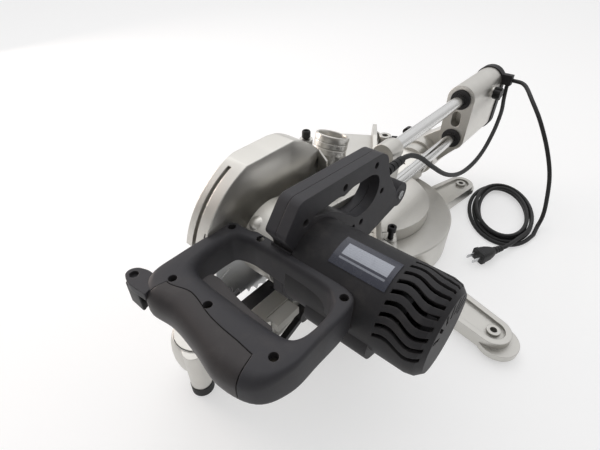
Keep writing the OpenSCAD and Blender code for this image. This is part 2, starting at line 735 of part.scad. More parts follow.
// The rounded edge in three steps: from and to, in from the face, and how far the outline draws in
carry_steps = [for (p = [[0, 0.12, 0.66], [0.12, 0.32, 0.38], [0.32, 0.6, 0.16]]) carry_round*p];
carry_full = 0.6*carry_round;
module carry_cuts() {
  rod_x(carry_x - 1, carry_end + 1, motor_y, motor_z, 13);
  rod_x(carry_x - 1, carry_end + 1, chop_y, chop_z, chop_pin_r + fit_gap);
  rod_y(gland[1], gland[1] + 40, gland[0], gland[2], gland_r + fit_gap);
}
gland = [carry_mid, -128, 205];
gland_r = cord_d/2 + 1.7;
gland_len = 58;
carry_screws = [[-300, 234], [-214, 237], [-137, 225], [-170, 170], [-108, 180]];
module carry_handle_left() {
  color(plastic) difference() {
    union() {
      for (s = carry_steps) yz(carry_x + s[0], carry_x + s[1]) offset(delta = -s[2]) carry_outline();
      yz(carry_x + carry_full, carry_mid) carry_outline();
    }
    carry_cuts();
  }
}
module carry_handle_right() {
  color(plastic) difference() {
    union() {
      for (s = carry_steps) yz(carry_end - s[1], carry_end - s[0]) offset(delta = -s[2]) carry_outline();
      yz(carry_mid, carry_end - carry_full) carry_outline();
    }
    carry_cuts();
    for (p = carry_screws) rod_x(carry_end - 5, carry_end + 1, p[0], p[1], 3.6);
  }
}

// Loop handle with its grip cover
loop_bar = 15;
loop_in = 10;
loop_bend = loop_in + loop_bar;
loop_front = grip_seam_y - 6;
bed_y = loop_y[0] + 56;
grip_bar = grip_seam_y - loop_y[0];
grip_in = 2;
grip_lean = 6;
grip_round = 11;
// Centres of the loop's corners: left, right, front, back
loop_c = [loop_x[0] + loop_bend, loop_x[1] - loop_bend, loop_front + loop_bend, loop_y[1] - loop_bend];
loop_m = [loop_x[0] + loop_bar/2, loop_x[1] - loop_bar/2, loop_front + loop_bar/2, loop_y[1] - loop_bar/2];
module loop_body() {
  translate([0, 0, loop_z - loop_t]) {
    soft_bend([loop_c[0], loop_c[2]], loop_in, loop_bar, 180, loop_t, loop_round);
    soft_bend([loop_c[1], loop_c[2]], loop_in, loop_bar, 270, loop_t, loop_round);
    soft_bend([loop_c[1], loop_c[3]], loop_in, loop_bar, 0, loop_t, loop_round);
    soft_bend([loop_c[0], loop_c[3]], loop_in, loop_bar, 90, loop_t, loop_round);
    soft_run([loop_c[0], loop_m[2]], [loop_c[1], loop_m[2]], loop_bar, loop_t, loop_round);
    soft_run([loop_c[0], loop_m[3]], [loop_c[1], loop_m[3]], loop_bar, loop_t, loop_round);
    soft_run([loop_m[0], loop_c[2]], [loop_m[0], loop_c[3]], loop_bar, loop_t, loop_round);
    soft_run([loop_m[1], loop_c[2]], [loop_m[1], loop_c[3]], loop_bar, loop_t, loop_round);
    // Bed that carries the trigger, behind the grip
    translate([loop_x[0] + 8, grip_seam_y - 4, 1]) cube([loop_x[1] - loop_x[0] - 16, bed_y - grip_seam_y + 4, loop_t - 2]);
  }
}
module grip_region() { translate([16, loop_y[0] - 40, 0]) cube([200, grip_seam_y - loop_y[0] + 40, 400]); }
trigger_z = [loop_z - 27, loop_z - 9];
trigger_hinge = [48, grip_seam_y + 11];
trigger_tip = [121, bed_y + 1.5];
loop_mid = 0.7071*(loop_in + loop_bar/2);
loop_screws = [[loop_c[0] - loop_mid, loop_c[3] + loop_mid], [54, loop_m[3] - 1],
  [loop_c[1] + loop_mid, loop_c[3] + loop_mid], [152, grip_seam_y + 6], [78, grip_seam_y + 7], [31, grip_seam_y + 6]];
module loop_handle() {
  color(plastic) difference() {
    union() {
      loop_body();
      xy(loop_z - 12, loop_z - 2) strip(ear, 10, [22, loop_front + 16], 8);
    }
    grip_region();
    rod_x(-50, carry_x - 1, motor_y, motor_z, 44.1);
    rod_x(carry_x - 1.5, carry_end + 0.5, motor_y, motor_z, motor_r + 3.3);
    rod_x(carry_end, 200, motor_y, motor_z, motor_r + 0.1);
    translate([carry_x - 0.3, motor_y - 49.5, 100]) cube([carry_w + 0.6, 40, 150]);
    difference() {
      translate([trigger_hinge[0] - 6, grip_seam_y + 1.5, trigger_z[0] - 1])
        cube([92, 40, trigger_z[1] - trigger_z[0] + 2]);
      rod_z(trigger_z[0] - 3, trigger_z[1] + 3, trigger_hinge[0], trigger_hinge[1], 1.5);
    }
    for (p = loop_screws) rod_z(loop_z - 6, loop_z + 1, p[0], p[1], 3.6);
    rod_z(loop_z - 40, loop_z, ear[0], ear[1], 3 + fit_gap);
  }
}
// The grip leans a little, so it is fuller towards the motor side
module grip_cover() {
  turn_at = [loop_x[1] - grip_bar - grip_in, loop_y[0] + grip_bar + grip_in];
  left_x = loop_x[0] + grip_bar + grip_in + 6 - turn_at[0];
  run_y = loop_y[0] + grip_bar/2 - turn_at[1];
  color(plastic) intersection() {
    translate([turn_at[0], turn_at[1], loop_z - loop_t]) rotate([0, 0, -grip_lean]) {
      soft_bend([left_x, 0], grip_in, grip_bar, 180, loop_t, grip_round);
      soft_bend([0, 0], grip_in, grip_bar, 270, loop_t, grip_round);
      soft_run([left_x, run_y], [0, run_y], grip_bar, loop_t, grip_round);
    }
    grip_region();
  }
}
module handle_screws() {
  color("#17171a") {
    for (p = loop_screws) rod_z(loop_z - 6, loop_z - 4, p[0], p[1], 3.5);
    for (p = carry_screws) rod_x(carry_end - 5, carry_end - 3, p[0], p[1], 3.5);
  }
}
module trigger() {
  color("#202022") difference() {
    union() {
      xy(trigger_z[0], trigger_z[1]) strip(trigger_hinge, 4, trigger_tip, 6);
    }
    rod_z(trigger_z[0] - 1, trigger_z[1] + 1, trigger_hinge[0], trigger_hinge[1], 1.5 + fit_gap);
  }
}
module switch_block() {
  color("#3a3a3c") translate([56, grip_seam_y + 1.5, trigger_z[0] + 2]) cube([16, 4, 14]);
}
module lock_off_lever() {
  color("#202022") {
    xy(loop_z - loop_t + 2, loop_z - 12 - run_gap) union() {
      strip(ear, 9, ear + [2, -12], 9);
    }
    rod_z(loop_z - 14, loop_z - 3, ear[0], ear[1], 3);
  }
}
label_x = [carry_end + 36, carry_end + 94];
module rating_plate() {
  color("#4b5570") intersection() {
    spin_x(motor_y, motor_z) polygon([[motor_r + fit_gap, label_x[0]], [motor_r + 0.8, label_x[0]],
      [motor_r + 0.8, label_x[1]], [motor_r + fit_gap, label_x[1]]]);
    yz(0, 300) translate([motor_y, motor_z]) sector(86, 125, 70);
  }
}
module cord_gland() {
  color(rubber) translate(gland) rotate([-90, 0, 0]) {
    for (k = [0:3]) translate([0, 0, 21 + 9*k]) cylinder(h = 6, r = gland_r + 1.4 - 0.3*k);
    cylinder(h = gland_len, r = gland_r);
  }
}
module chop_pin() { color(steel) rod_x(cheek_x[0] - 2, carry_end + 2, chop_y, chop_z, chop_pin_r); }
module depth_stop_knob() {
  color(plastic) {
    rod_z(228, stop_z + 4, stop_bolt[0], stop_bolt[1], 3);
    rod_z(stop_z + run_gap, stop_z + 11, stop_bolt[0], stop_bolt[1], 6.5);
  }
}

// Cord: swept tubes through chosen points, then the coil by formula
function unit(v) = v/norm(v);
function along(pts, k) = unit(pts[min(k + 1, len(pts) - 1)] - pts[max(k - 1, 0)]);
function spline(p, k, t) = let (a = p[max(k - 1, 0)], b = p[k], c = p[k + 1], d = p[min(k + 2, len(p) - 1)])
  0.5*(2*b + (c - a)*t + (2*a - 5*b + 4*c - d)*t*t + (3*b - a - 3*c + d)*t*t*t);
function smooth(p, n) = concat([for (k = [0:len(p) - 2], j = [0:n - 1]) spline(p, k, j/n)], [p[len(p) - 1]]);
function with_ends(a, pts, b) = concat([a], pts, [b]);
module tube(pts, r, sides, side_first) {
  last = len(pts) - 1;
  t = [for (k = [0:last]) along(pts, k)];
  across = [for (k = 0, n = unit(side_first - (side_first*t[0])*t[0]); k <= last;
    k = k + 1, n = k <= last ? unit(n - (n*t[k])*t[k]) : n) n];
  rings = [for (k = [0:last], j = [0:sides - 1]) let (up = cross(t[k], across[k]), a = 360*j/sides)
    pts[k] + r*(cos(a)*across[k] + sin(a)*up)];
  walls = [for (k = [0:last - 1], j = [0:sides - 1]) let (a = k*sides + j, b = k*sides + (j + 1)%sides)
    each [[a, a + sides, b], [b, a + sides, b + sides]]];
  caps = [for (j = [1:sides - 2]) each [[0, j, j + 1], last*sides*[1, 1, 1] + [0, j + 1, j]]];
  polyhedron(rings, concat(walls, caps));
}
cord_r = cord_d/2;
lead_start = [carry_mid, gland[1] + gland_len + run_gap, gland[2]];
lead_path = [lead_start + [0, cord_d, 0], [84, -34, 194], [96, 0, 169], [105, 42, 140], [110, 90, 121],
  [112, 140, 116], [111, 190, 123], [107, 236, 146], [99, 280, 170], [90, 314, 181],
  [84, clip[1], clip[2] - 9 - run_gap - cord_d]];
lead_end = lead_path[len(lead_path) - 1] + [0, 0, cord_d];
module cord_lead() {
  color(rubber) tube(with_ends(lead_start, smooth(lead_path, 3), lead_end), cord_r, 10, [1, 0, 0]);
}

coil_mid = [172, 209];
coil_phase = 40;
coil_half = [52, 90];
coil_lean = [[0.945, 0.33], [-0.33, 0.945]];
coil_pitch = cord_d + 1.4;
coil_climb = cord_d + 0.9;
coil_z = cord_r + 0.2;
coil_turn_in = coil_turns/2 + 0.5;
// Inward shift and height of the cord after a number of turns
function coil_shift(u) = coil_pitch*(u < coil_turn_in ? u - 1 : max(2*coil_turn_in - 1 - u, -0.3));
function coil_rise(u) = let (t = max(0, min(1, 2*(u - coil_turn_in) + 0.5))) coil_climb*t*t*(3 - 2*t);
function coil_at(u) = let (a = coil_half[0] - coil_shift(u), b = coil_half[1] - coil_shift(u),
  w = -360*u - coil_phase,
  q = coil_mid + a*cos(w)*coil_lean[0] + b*sin(w)*coil_lean[1]) [q[0], q[1], coil_z + coil_rise(u)];
coil_start = coil_at(0) - cord_d*unit(coil_at(0.01) - coil_at(0));
plug_at = [210, 97, coil_z + coil_climb];
plug_way = unit([-0.45, -0.893, 0]);
coil_path = concat([coil_start], [for (k = [0:24*coil_turns + 1]) coil_at(k/24)],
  [[219.5, 125, plug_at[2]], plug_at - cord_d*plug_way, plug_at]);
// Least gap of the coil to itself, taken between ring centres at least half a turn apart
coil_gap = min([for (j = [0:2:len(coil_path) - 1], k = [j + 12:1:len(coil_path) - 1])
  norm(coil_path[j] - coil_path[k])]) - cord_d;
echo(coil_gap = coil_gap);
module cord_coil() { color(rubber) tube(coil_path, cord_r, 6, [0, 0, 1]); }
drop_start = [clip[0] + 14 + run_gap, clip[1], clip[2]];
drop_way = unit(coil_at(0.01) - coil_at(0));
drop_end = coil_start - run_gap*drop_way;
drop_path = [drop_start + [cord_d, 0, 0], [118, 308, 203], [140, 283, 194], [169, 261, 171], [198, 244, 134],
  [220, 231, 94], [233, 222, 50], [238, 214, 24], [238, 201, 8], drop_end - cord_d*drop_way];
module cord_drop() {
  color(rubber) tube(with_ends(drop_start, smooth(drop_path, 3), drop_end), cord_r, 10, [0, 1, 0]);
}
module cord_plug() {
  color(rubber) translate(plug_at) rotate([0, 0, atan2(plug_way[1], plug_way[0])]) rotate([0, 90, 0]) {
    cylinder(h = 22, r = cord_r + 1.2);
    for (k = [0:2]) translate([0, 0, 3 + 6*k]) cylinder(h = 3.5, r = cord_r + 2.6);
    translate([0, 0, 20]) cylinder(h = 8, r1 = 7, r2 = 10.5);
    intersection() {
      translate([0, 0, 28]) cylinder(h = 24, r = 15);
      translate([-10, -12.5, 28]) cube([20, 25, 24]);
    }
    for (s = [-1, 1]) translate([-3.15, s*6.35 - 0.75, 50]) cube([6.3, 1.5, 19]);
  }
}

base_casting();
base_legs();
wing_left();
wing_right();
fence_left();
fence_right();
fence_bolts();
rubber_feet();
vise_knob();
turntable();
table_pivot_pin();
kerf_plate_left();
kerf_plate_right();
mitre_pointer();
mitre_lock_lever();
arm_foot();
rail_holder();
rail_bushings();
rail_seals();
bevel_pin();
slide_lock_knob();
bevel_lock_lever();
upper_rail();
lower_rail();
carriage();
rail_collars();
end_plate();
cord_clip();
head_casting();
upper_guard();
dust_port();
motor_housing();
stator();
bearings();
brushes();
carry_handle_left();
carry_handle_right();
handle_screws();
loop_handle();
grip_cover();
switch_block();
rating_plate();
cord_gland();
chop_pin();
depth_stop_knob();
blade();
blade_flanges();
blade_bolt();
spindle();
spindle_gear();
armature();
motor_pinion();
cooling_fan();
lower_guard();
trigger();
lock_off_lever();
cord_lead();
cord_drop();
cord_coil();
cord_plug();
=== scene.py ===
import logging
import math
from collections.abc import Sequence
from dataclasses import dataclass, field
from enum import Enum

import bmesh
import bpy
from mathutils import Matrix, Vector


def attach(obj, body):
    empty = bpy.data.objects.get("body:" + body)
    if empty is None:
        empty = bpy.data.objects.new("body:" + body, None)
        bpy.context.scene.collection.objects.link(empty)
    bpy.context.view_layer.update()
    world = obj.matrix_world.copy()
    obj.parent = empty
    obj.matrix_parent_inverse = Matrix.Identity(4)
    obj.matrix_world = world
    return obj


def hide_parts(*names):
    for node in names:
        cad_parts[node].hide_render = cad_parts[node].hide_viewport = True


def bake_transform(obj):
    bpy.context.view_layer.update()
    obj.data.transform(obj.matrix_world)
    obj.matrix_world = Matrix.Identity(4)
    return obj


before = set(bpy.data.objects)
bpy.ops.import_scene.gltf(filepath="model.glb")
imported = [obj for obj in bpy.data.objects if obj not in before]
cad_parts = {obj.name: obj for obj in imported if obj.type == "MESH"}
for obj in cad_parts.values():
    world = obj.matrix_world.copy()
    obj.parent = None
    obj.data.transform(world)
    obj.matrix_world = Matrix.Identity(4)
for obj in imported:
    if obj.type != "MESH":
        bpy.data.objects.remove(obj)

LOG = logging.getLogger("mitre_saw")
MM = 0.001
MERGE_MM = 0.001
LEVEL_MM = 0.01
SHARP = 0.9
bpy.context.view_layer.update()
Point = tuple[float, float, float]
Flat = tuple[float, float]
Corners = Sequence[tuple[Flat, float]]
Row = tuple[float, float, float, float]


class Slot(Enum):
    """Material slots, one for each kind of finish that new pieces wear."""

    CAST = "cast_silver"
    PLASTIC = "black_plastic"
    STEEL = "steel"
    RUBBER = "rubber"


class Body(Enum):
    """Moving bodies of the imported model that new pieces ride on."""

    BASE = "base"
    TABLE = "table"
    SLIDE = "slide"
    HEAD = "head"
    TRIGGER = "trigger"
    LOCK_OFF = "lock_off"
    DEPTH_STOP = "depth_knob"


def mm(point: tuple[float, ...]) -> Vector:
    """Returns a point given in millimetres as a vector in metres."""
    return Vector(point) * MM


def add(name: str, data: bpy.types.ID) -> bpy.types.Object:
    """Returns a new object with that data, linked to the scene."""
    thing = bpy.data.objects.new(name, data)
    bpy.context.scene.collection.objects.link(thing)
    return thing


def face_along(thing: bpy.types.Object, way: Vector) -> None:
    """Turns a camera or a lamp to look along a direction."""
    thing.rotation_mode = "QUATERNION"
    thing.rotation_quaternion = way.to_track_quat("-Z", "Y")


def applied(thing: bpy.types.Object) -> bpy.types.Mesh:
    """Returns a new mesh of a thing, with its modifiers or its curve worked out."""
    bpy.context.view_layer.update()
    return bpy.data.meshes.new_from_object(thing.evaluated_get(bpy.context.evaluated_depsgraph_get()))


def between(knots: Sequence[Vector], share: float) -> Vector:
    """Returns a place between the middle two of four knots, on a smooth line through them."""
    a, b, c, d = knots
    square, cube = 2 * a - 5 * b + 4 * c - d, 3 * b - a - 3 * c + d
    return 0.5 * (2 * b + (c - a) * share + square * share * share + cube * share ** 3)


def arc(middle: Flat, radius: float, start: float, end: float, count: int) -> list[Flat]:
    """Returns places along part of a circle, from one angle to another in degrees."""
    turns = [math.radians(start + (end - start) * k / count) for k in range(count + 1)]
    return [(middle[0] + radius * math.cos(a), middle[1] + radius * math.sin(a)) for a in turns]


class Wire:
    """A shader socket that takes part in Python arithmetic."""

    def __init__(self, graph: "Graph", socket: bpy.types.NodeSocket) -> None:
        """Keeps the socket and the graph that its results are added to."""
        self.graph = graph
        self.socket = socket

    def _math(self, operation: str, *values: "Wire | float") -> "Wire":
        """Adds a Math node over the values and returns its result."""
        return self.graph.make("ShaderNodeMath", {"operation": operation}, dict(enumerate(values)))[0]

    def __add__(self, other: "Wire | float") -> "Wire":
        """Returns the sum."""
        return self._math("ADD", self, other)

    def __sub__(self, other: "Wire | float") -> "Wire":
        """Returns the difference."""
        return self._math("SUBTRACT", self, other)

    def __rsub__(self, other: float) -> "Wire":
        """Returns the difference from a number."""
        return self._math("SUBTRACT", other, self)

    def __mul__(self, other: "Wire | float") -> "Wire":
        """Returns the product."""
        return self._math("MULTIPLY", self, other)

    __radd__ = __add__
    __rmul__ = __mul__

    def ease(self, low: float, high: float) -> "Wire":
        """Returns 0 below low, 1 above high and a smooth rise between them.

        Args:
            low: value at which the rise starts.
            high: value at which it ends.

        Returns:
            The eased value.
        """
        settings = {"interpolation_type": "SMOOTHSTEP"}
        return self.graph.make("ShaderNodeMapRange", settings, {"Value": self, "From Min": low, "From Max": high})[0]

    def band(self, ends: Flat, blur: float) -> "Wire":
        """Returns 1 between the ends and 0 outside them, each end blurred."""
        low, high = ends
        return self.ease(low, low + blur) * (1.0 - self.ease(high, high + blur))


class Graph:
    """The node tree of one material or of the room, with the few builders that the finishes share."""

    def __init__(self, name: str, room: bool = False) -> None:
        """Makes an empty material, or an empty room, of that name."""
        self.owner = bpy.data.worlds.new(name) if room else bpy.data.materials.new(name)
        self.owner.use_nodes = True
        self.tree = self.owner.node_tree
        self.tree.nodes.clear()

    def make(self, kind: str, settings: dict | None = None, inputs: dict | None = None) -> list[Wire]:
        """Adds any node.

        Args:
            kind: the node's type name.
            settings: the node's own settings, set first; a ramp's stops go under "stops".
            inputs: values or wires by socket name or number.

        Returns:
            One wire for each output of the node.
        """
        node = self.tree.nodes.new(kind)
        for key, value in (settings or {}).items():
            if key == "stops":
                self._stops(node.color_ramp, value)
            else:
                setattr(node, key, value)
        for key, value in (inputs or {}).items():
            if isinstance(value, Wire):
                self.tree.links.new(value.socket, node.inputs[key])
            else:
                node.inputs[key].default_value = value
        return [Wire(self, socket) for socket in node.outputs]

    @staticmethod
    def _stops(ramp: bpy.types.ColorRamp, stops: list[tuple[float, tuple]]) -> None:
        """Gives a ramp its places and colours."""
        while len(ramp.elements) < len(stops):
            ramp.elements.new(0.5)
        for element, (place, colour) in zip(ramp.elements, stops):
            element.position = place
            element.color = (*colour, 1.0)

    def place(self, scale: Point = (1.0, 1.0, 1.0)) -> Wire:
        """Returns the object's own coordinates in metres, each axis stretched by scale."""
        place = self.make("ShaderNodeTexCoord")[3]
        return self.make("ShaderNodeMapping", None, {"Vector": place, "Scale": scale})[0]

    def noise(self, place: Wire, scale: float, detail: float = 2.0, rough: float = 0.5) -> Wire:
        """Returns a noise value from 0 to 1 at that scale per metre."""
        inputs = {"Vector": place, "Scale": scale, "Detail": detail, "Roughness": rough}
        return self.make("ShaderNodeTexNoise", None, inputs)[0]

    def mix(self, share: Wire | float, first: "Wire | Point", second: "Wire | Point") -> Wire:
        """Returns a colour between two, by share."""
        sides = [c if isinstance(c, Wire) else (*c, 1.0) for c in (first, second)]
        return self.make("ShaderNodeMix", {"data_type": "RGBA"}, {0: share, 6: sides[0], 7: sides[1]})[2]

    def hollow(self, reach: float) -> Wire:
        """Returns 1 deep in corners and 0 on open faces, within reach in metres."""
        open_share = self.make("ShaderNodeAmbientOcclusion", {"samples": 6}, {"Distance": reach})[1]
        return (1.0 - open_share).ease(0.25, 0.85)

    def rounded(self, radius: float) -> tuple[Wire, Wire]:
        """Returns a normal that rounds sharp edges, and a mask of those edges.

        Args:
            radius: radius of the rounding in metres.

        Returns:
            The rounded normal and the edge mask.
        """
        soft = self.make("ShaderNodeBevel", {"samples": 6}, {"Radius": radius})[0]
        true = self.make("ShaderNodeNewGeometry")[1]
        alike = self.make("ShaderNodeVectorMath", {"operation": "DOT_PRODUCT"}, {0: soft, 1: true})[1]
        return soft, (1.0 - alike).ease(0.02, 0.22)

    def bump(self, height: Wire, depth: float, normal: Wire | None = None, strength: float = 1.0) -> Wire:
        """Returns a normal raised by a height field of that depth in metres."""
        inputs = {"Height": height, "Distance": depth, "Strength": strength}
        if normal is not None:
            inputs["Normal"] = normal
        return self.make("ShaderNodeBump", None, inputs)[0]

    def surface(self, **sockets: "Wire | float | tuple") -> bpy.types.Material:
        """Closes the graph with a surface shader.

        Args:
            **sockets: values or wires, by socket name with underscores for spaces.

        Returns:
            The finished material.
        """
        inputs = {}
        for key, value in sockets.items():
            colour = isinstance(value, tuple) and len(value) == 3
            inputs[key.replace("_", " ")] = (*value, 1.0) if colour else value
        shader = self.make("ShaderNodeBsdfPrincipled", None, inputs)[0]
        self.make("ShaderNodeOutputMaterial", None, {"Surface": shader})
        return self.owner


@dataclass(frozen=True)
class CastFinish:
    """Silver paint over a rough aluminium casting."""

    name: str
    low: Point = (0.56, 0.545, 0.51)
    high: Point = (0.72, 0.705, 0.665)
    metal: float = 0.90
    rough: float = 0.28
    grain: float = 900.0
    depth: float = 0.00012

    def build(self) -> bpy.types.Material:
        """Returns the material."""
        g = Graph(self.name)
        place = g.place()
        soft, edge = g.rounded(0.0014)
        cloud = g.noise(place, 22.0, 4.0)
        speck = g.noise(place, 2600.0, 1.0)
        hollow_shade_and_dust = g.hollow(0.016)
        paint = g.mix(cloud * 0.6 + speck * 0.4, self.low, self.high)
        worn = g.mix(edge * g.noise(place, 160.0, 3.0).ease(0.42, 0.7) * 0.6, paint, (0.74, 0.74, 0.72))
        # Painted shade: the hollows, found by ambient occlusion, are darkened towards dark grey-brown; the same mask
        # makes them rougher.
        colour = g.mix(hollow_shade_and_dust * 0.55, worn, (0.16, 0.155, 0.14))
        height = g.noise(place, self.grain, 3.0, 0.6)
        rough = self.rough + 0.14 * g.noise(place, 60.0, 3.0) + 0.2 * hollow_shade_and_dust
        return g.surface(Base_Color=colour, Metallic=self.metal, Roughness=rough,
                         Normal=g.bump(height, self.depth, soft, 0.6))


@dataclass(frozen=True)
class PlasticFinish:
    """Moulded plastic with a fine sparked texture and a little dust."""

    name: str
    colour: Point = (0.045, 0.0445, 0.050)
    dust: Point = (0.10, 0.092, 0.088)
    rough: float = 0.40
    grain: float = 1500.0
    depth: float = 0.00007

    def build(self) -> bpy.types.Material:
        """Returns the material."""
        g = Graph(self.name)
        place = g.place()
        soft, edge = g.rounded(0.0011)
        grain = g.noise(place, self.grain, 2.0, 0.6)
        patch = g.noise(place, 38.0, 4.0, 0.62)
        lint = g.noise(place, 420.0, 3.0, 0.7).ease(0.64, 0.78)
        hollow_shade_and_dust = g.hollow(0.01)
        # Dust gathers in the hollows, found by ambient occlusion, in the dust colour.
        dusted = g.mix(patch.ease(0.45, 0.8) * 0.3 + lint * 0.22 + hollow_shade_and_dust * 0.25, self.colour, self.dust)
        colour = g.mix(edge * 0.28, dusted, self.dust)
        rough = self.rough + 0.16 * patch + 0.12 * grain - 0.08 * edge
        return g.surface(Base_Color=colour, Roughness=rough, Specular_IOR_Level=0.27,
                         Normal=g.bump(grain, self.depth, soft, 0.7))


@dataclass(frozen=True)
class SteelFinish:
    """Ground or plated steel, its fine lines running along or round the piece."""

    name: str
    colour: Point = (0.62, 0.63, 0.64)
    shade: Point = (0.40, 0.405, 0.41)
    rough: float = 0.17
    lines: Point = (2200.0, 12.0, 2200.0)

    def build(self) -> bpy.types.Material:
        """Returns the material."""
        g = Graph(self.name)
        soft, _ = g.rounded(0.0006)
        lines = g.noise(g.place(self.lines), 1.0, 3.0)
        cloud = g.noise(g.place(), 34.0, 3.0)
        hollow_shade = g.hollow(0.008)
        bright = g.mix(lines * 0.5 + cloud * 0.3, self.colour, self.shade)
        # Painted shade: the hollows, found by ambient occlusion, are darkened towards dark brown; the same mask makes
        # them rougher.
        colour = g.mix(hollow_shade * 0.5, bright, (0.09, 0.075, 0.055))
        rough = self.rough + 0.16 * lines + 0.1 * cloud.ease(0.4, 0.8) + 0.2 * hollow_shade
        return g.surface(Base_Color=colour, Metallic=1.0, Roughness=rough,
                         Normal=g.bump(lines, 0.00002, soft, 0.4))


@dataclass(frozen=True)
class RubberFinish:
    """Matt black rubber with a chalky bloom."""

    name: str
    colour: Point = (0.012, 0.012, 0.013)
    bloom: Point = (0.05, 0.05, 0.05)
    rough: float = 0.5

    def build(self) -> bpy.types.Material:
        """Returns the material."""
        g = Graph(self.name)
        place = g.place()
        soft, edge = g.rounded(0.0008)
        patch = g.noise(place, 90.0, 4.0, 0.6)
        grain = g.noise(place, 1900.0, 2.0)
        colour = g.mix(patch.ease(0.42, 0.85) * 0.4 + edge * 0.3, self.colour, self.bloom)
        rough = self.rough + 0.2 * patch + 0.08 * grain
        return g.surface(Base_Color=colour, Roughness=rough, Normal=g.bump(grain, 0.00005, soft, 0.5))


@dataclass(frozen=True)
class FoilFinish:
    """A bare satin foil plate bent round the motor, dark with a blank pale field and a pale strip."""

    name: str
    dark: Point = (0.014, 0.017, 0.036)
    field: Point = (0.36, 0.38, 0.43)
    axis: Flat = (-0.266, 0.178)
    sides: Flat = (0.1345, 0.1810)
    turn: Flat = (94.0, 110.0)
    strip: Flat = (113.0, 115.5)

    def build(self) -> bpy.types.Material:
        """Returns the material."""
        g = Graph(self.name)
        place = g.place()
        axes = g.make("ShaderNodeSeparateXYZ", None, {0: place})
        sides = {0: axes[2] - self.axis[1], 1: axes[1] - self.axis[0]}
        turn = g.make("ShaderNodeMath", {"operation": "ARCTAN2"}, sides)[0] * (180.0 / math.pi)
        across = axes[0].band(self.sides, 0.0003)
        bands = [turn.band(ends, 0.3) for ends in (self.turn, self.strip)]
        rules = g.make("ShaderNodeMath", {"operation": "SINE"}, {0: turn * 2.4})[0].ease(0.80, 0.95)
        scuff = g.noise(place, 240.0, 4.0).ease(0.5, 0.8)
        pale = g.mix(rules * 0.5, self.field, (0.22, 0.24, 0.30))
        plain = g.mix(across * (bands[0] + bands[1] * 0.6), self.dark, pale)
        colour = g.mix(scuff * 0.12, plain, (0.30, 0.31, 0.33))
        rough = 0.26 + 0.2 * scuff
        return g.surface(Base_Color=colour, Roughness=rough, Metallic=0.1, Coat_Weight=0.25 * (1.0 - scuff),
                         Normal=g.bump(g.noise(place, 700.0, 2.0), 0.00002))


@dataclass(frozen=True)
class WindingFinish:
    """Varnished copper winding on a laminated core."""

    name: str

    def build(self) -> bpy.types.Material:
        """Returns the material."""
        g = Graph(self.name)
        lines = g.noise(g.place((4200.0, 30.0, 30.0)), 1.0, 2.0)
        cloud = g.noise(g.place(), 60.0, 3.0)
        colour = g.mix(lines * 0.7 + cloud * 0.3, (0.010, 0.007, 0.006), (0.045, 0.024, 0.014))
        return g.surface(Base_Color=colour, Metallic=0.3, Roughness=0.3 + 0.3 * cloud,
                         Normal=g.bump(lines, 0.0002, None, 0.6))


class Finishes:
    """Makes each finish once and hands out its material."""

    def __init__(self) -> None:
        """Lists the finishes of the saw."""
        self._specs = {
            spec.name: spec
            for spec in (
                CastFinish("cast_head"),
                CastFinish("cast_base", low=(0.55, 0.54, 0.51), high=(0.72, 0.705, 0.665), rough=0.31, grain=650.0),
                CastFinish("guard_sheet", low=(0.55, 0.55, 0.54), high=(0.68, 0.68, 0.67), rough=0.3, grain=1600.0,
                           depth=0.00005),
                PlasticFinish("handle_plastic"),
                PlasticFinish("grip_plastic", colour=(0.044, 0.040, 0.041), rough=0.30, grain=1900.0, depth=0.00004),
                PlasticFinish("motor_plastic", colour=(0.026, 0.0255, 0.028), rough=0.42, grain=1100.0),
                PlasticFinish("knob_plastic", colour=(0.012, 0.012, 0.0125), rough=0.3),
                PlasticFinish("pale_plastic", colour=(0.66, 0.65, 0.61), dust=(0.42, 0.40, 0.36)),
                PlasticFinish("fan_plastic", colour=(0.05, 0.052, 0.055)),
                SteelFinish("rail_steel", colour=(0.74, 0.74, 0.73), shade=(0.56, 0.56, 0.55), rough=0.05),
                SteelFinish("turned_steel", lines=(2200.0, 60.0, 60.0)),
                SteelFinish("blade_steel", lines=(60.0, 900.0, 900.0), rough=0.22),
                SteelFinish("black_screw", colour=(0.05, 0.05, 0.052), shade=(0.02, 0.02, 0.021), rough=0.3),
                SteelFinish("bronze_bush", colour=(0.45, 0.31, 0.13), shade=(0.28, 0.18, 0.07)),
                RubberFinish("foot_rubber"),
                RubberFinish("cord_rubber", colour=(0.010, 0.010, 0.011), bloom=(0.035, 0.035, 0.035), rough=0.4),
                FoilFinish("plate_foil"),
                WindingFinish("motor_winding"),
            )
        }
        self._made: dict[str, bpy.types.Material] = {}

    def get(self, name: str) -> bpy.types.Material:
        """Returns the material of that finish."""
        if name not in self._made:
            self._made[name] = self._specs[name].build()
        return self._made[name]

    def paint(self, piece: bpy.types.Object, name: str) -> None:
        """Gives a piece one finish all over."""
        piece.data.materials.clear()
        piece.data.materials.append(self.get(name))


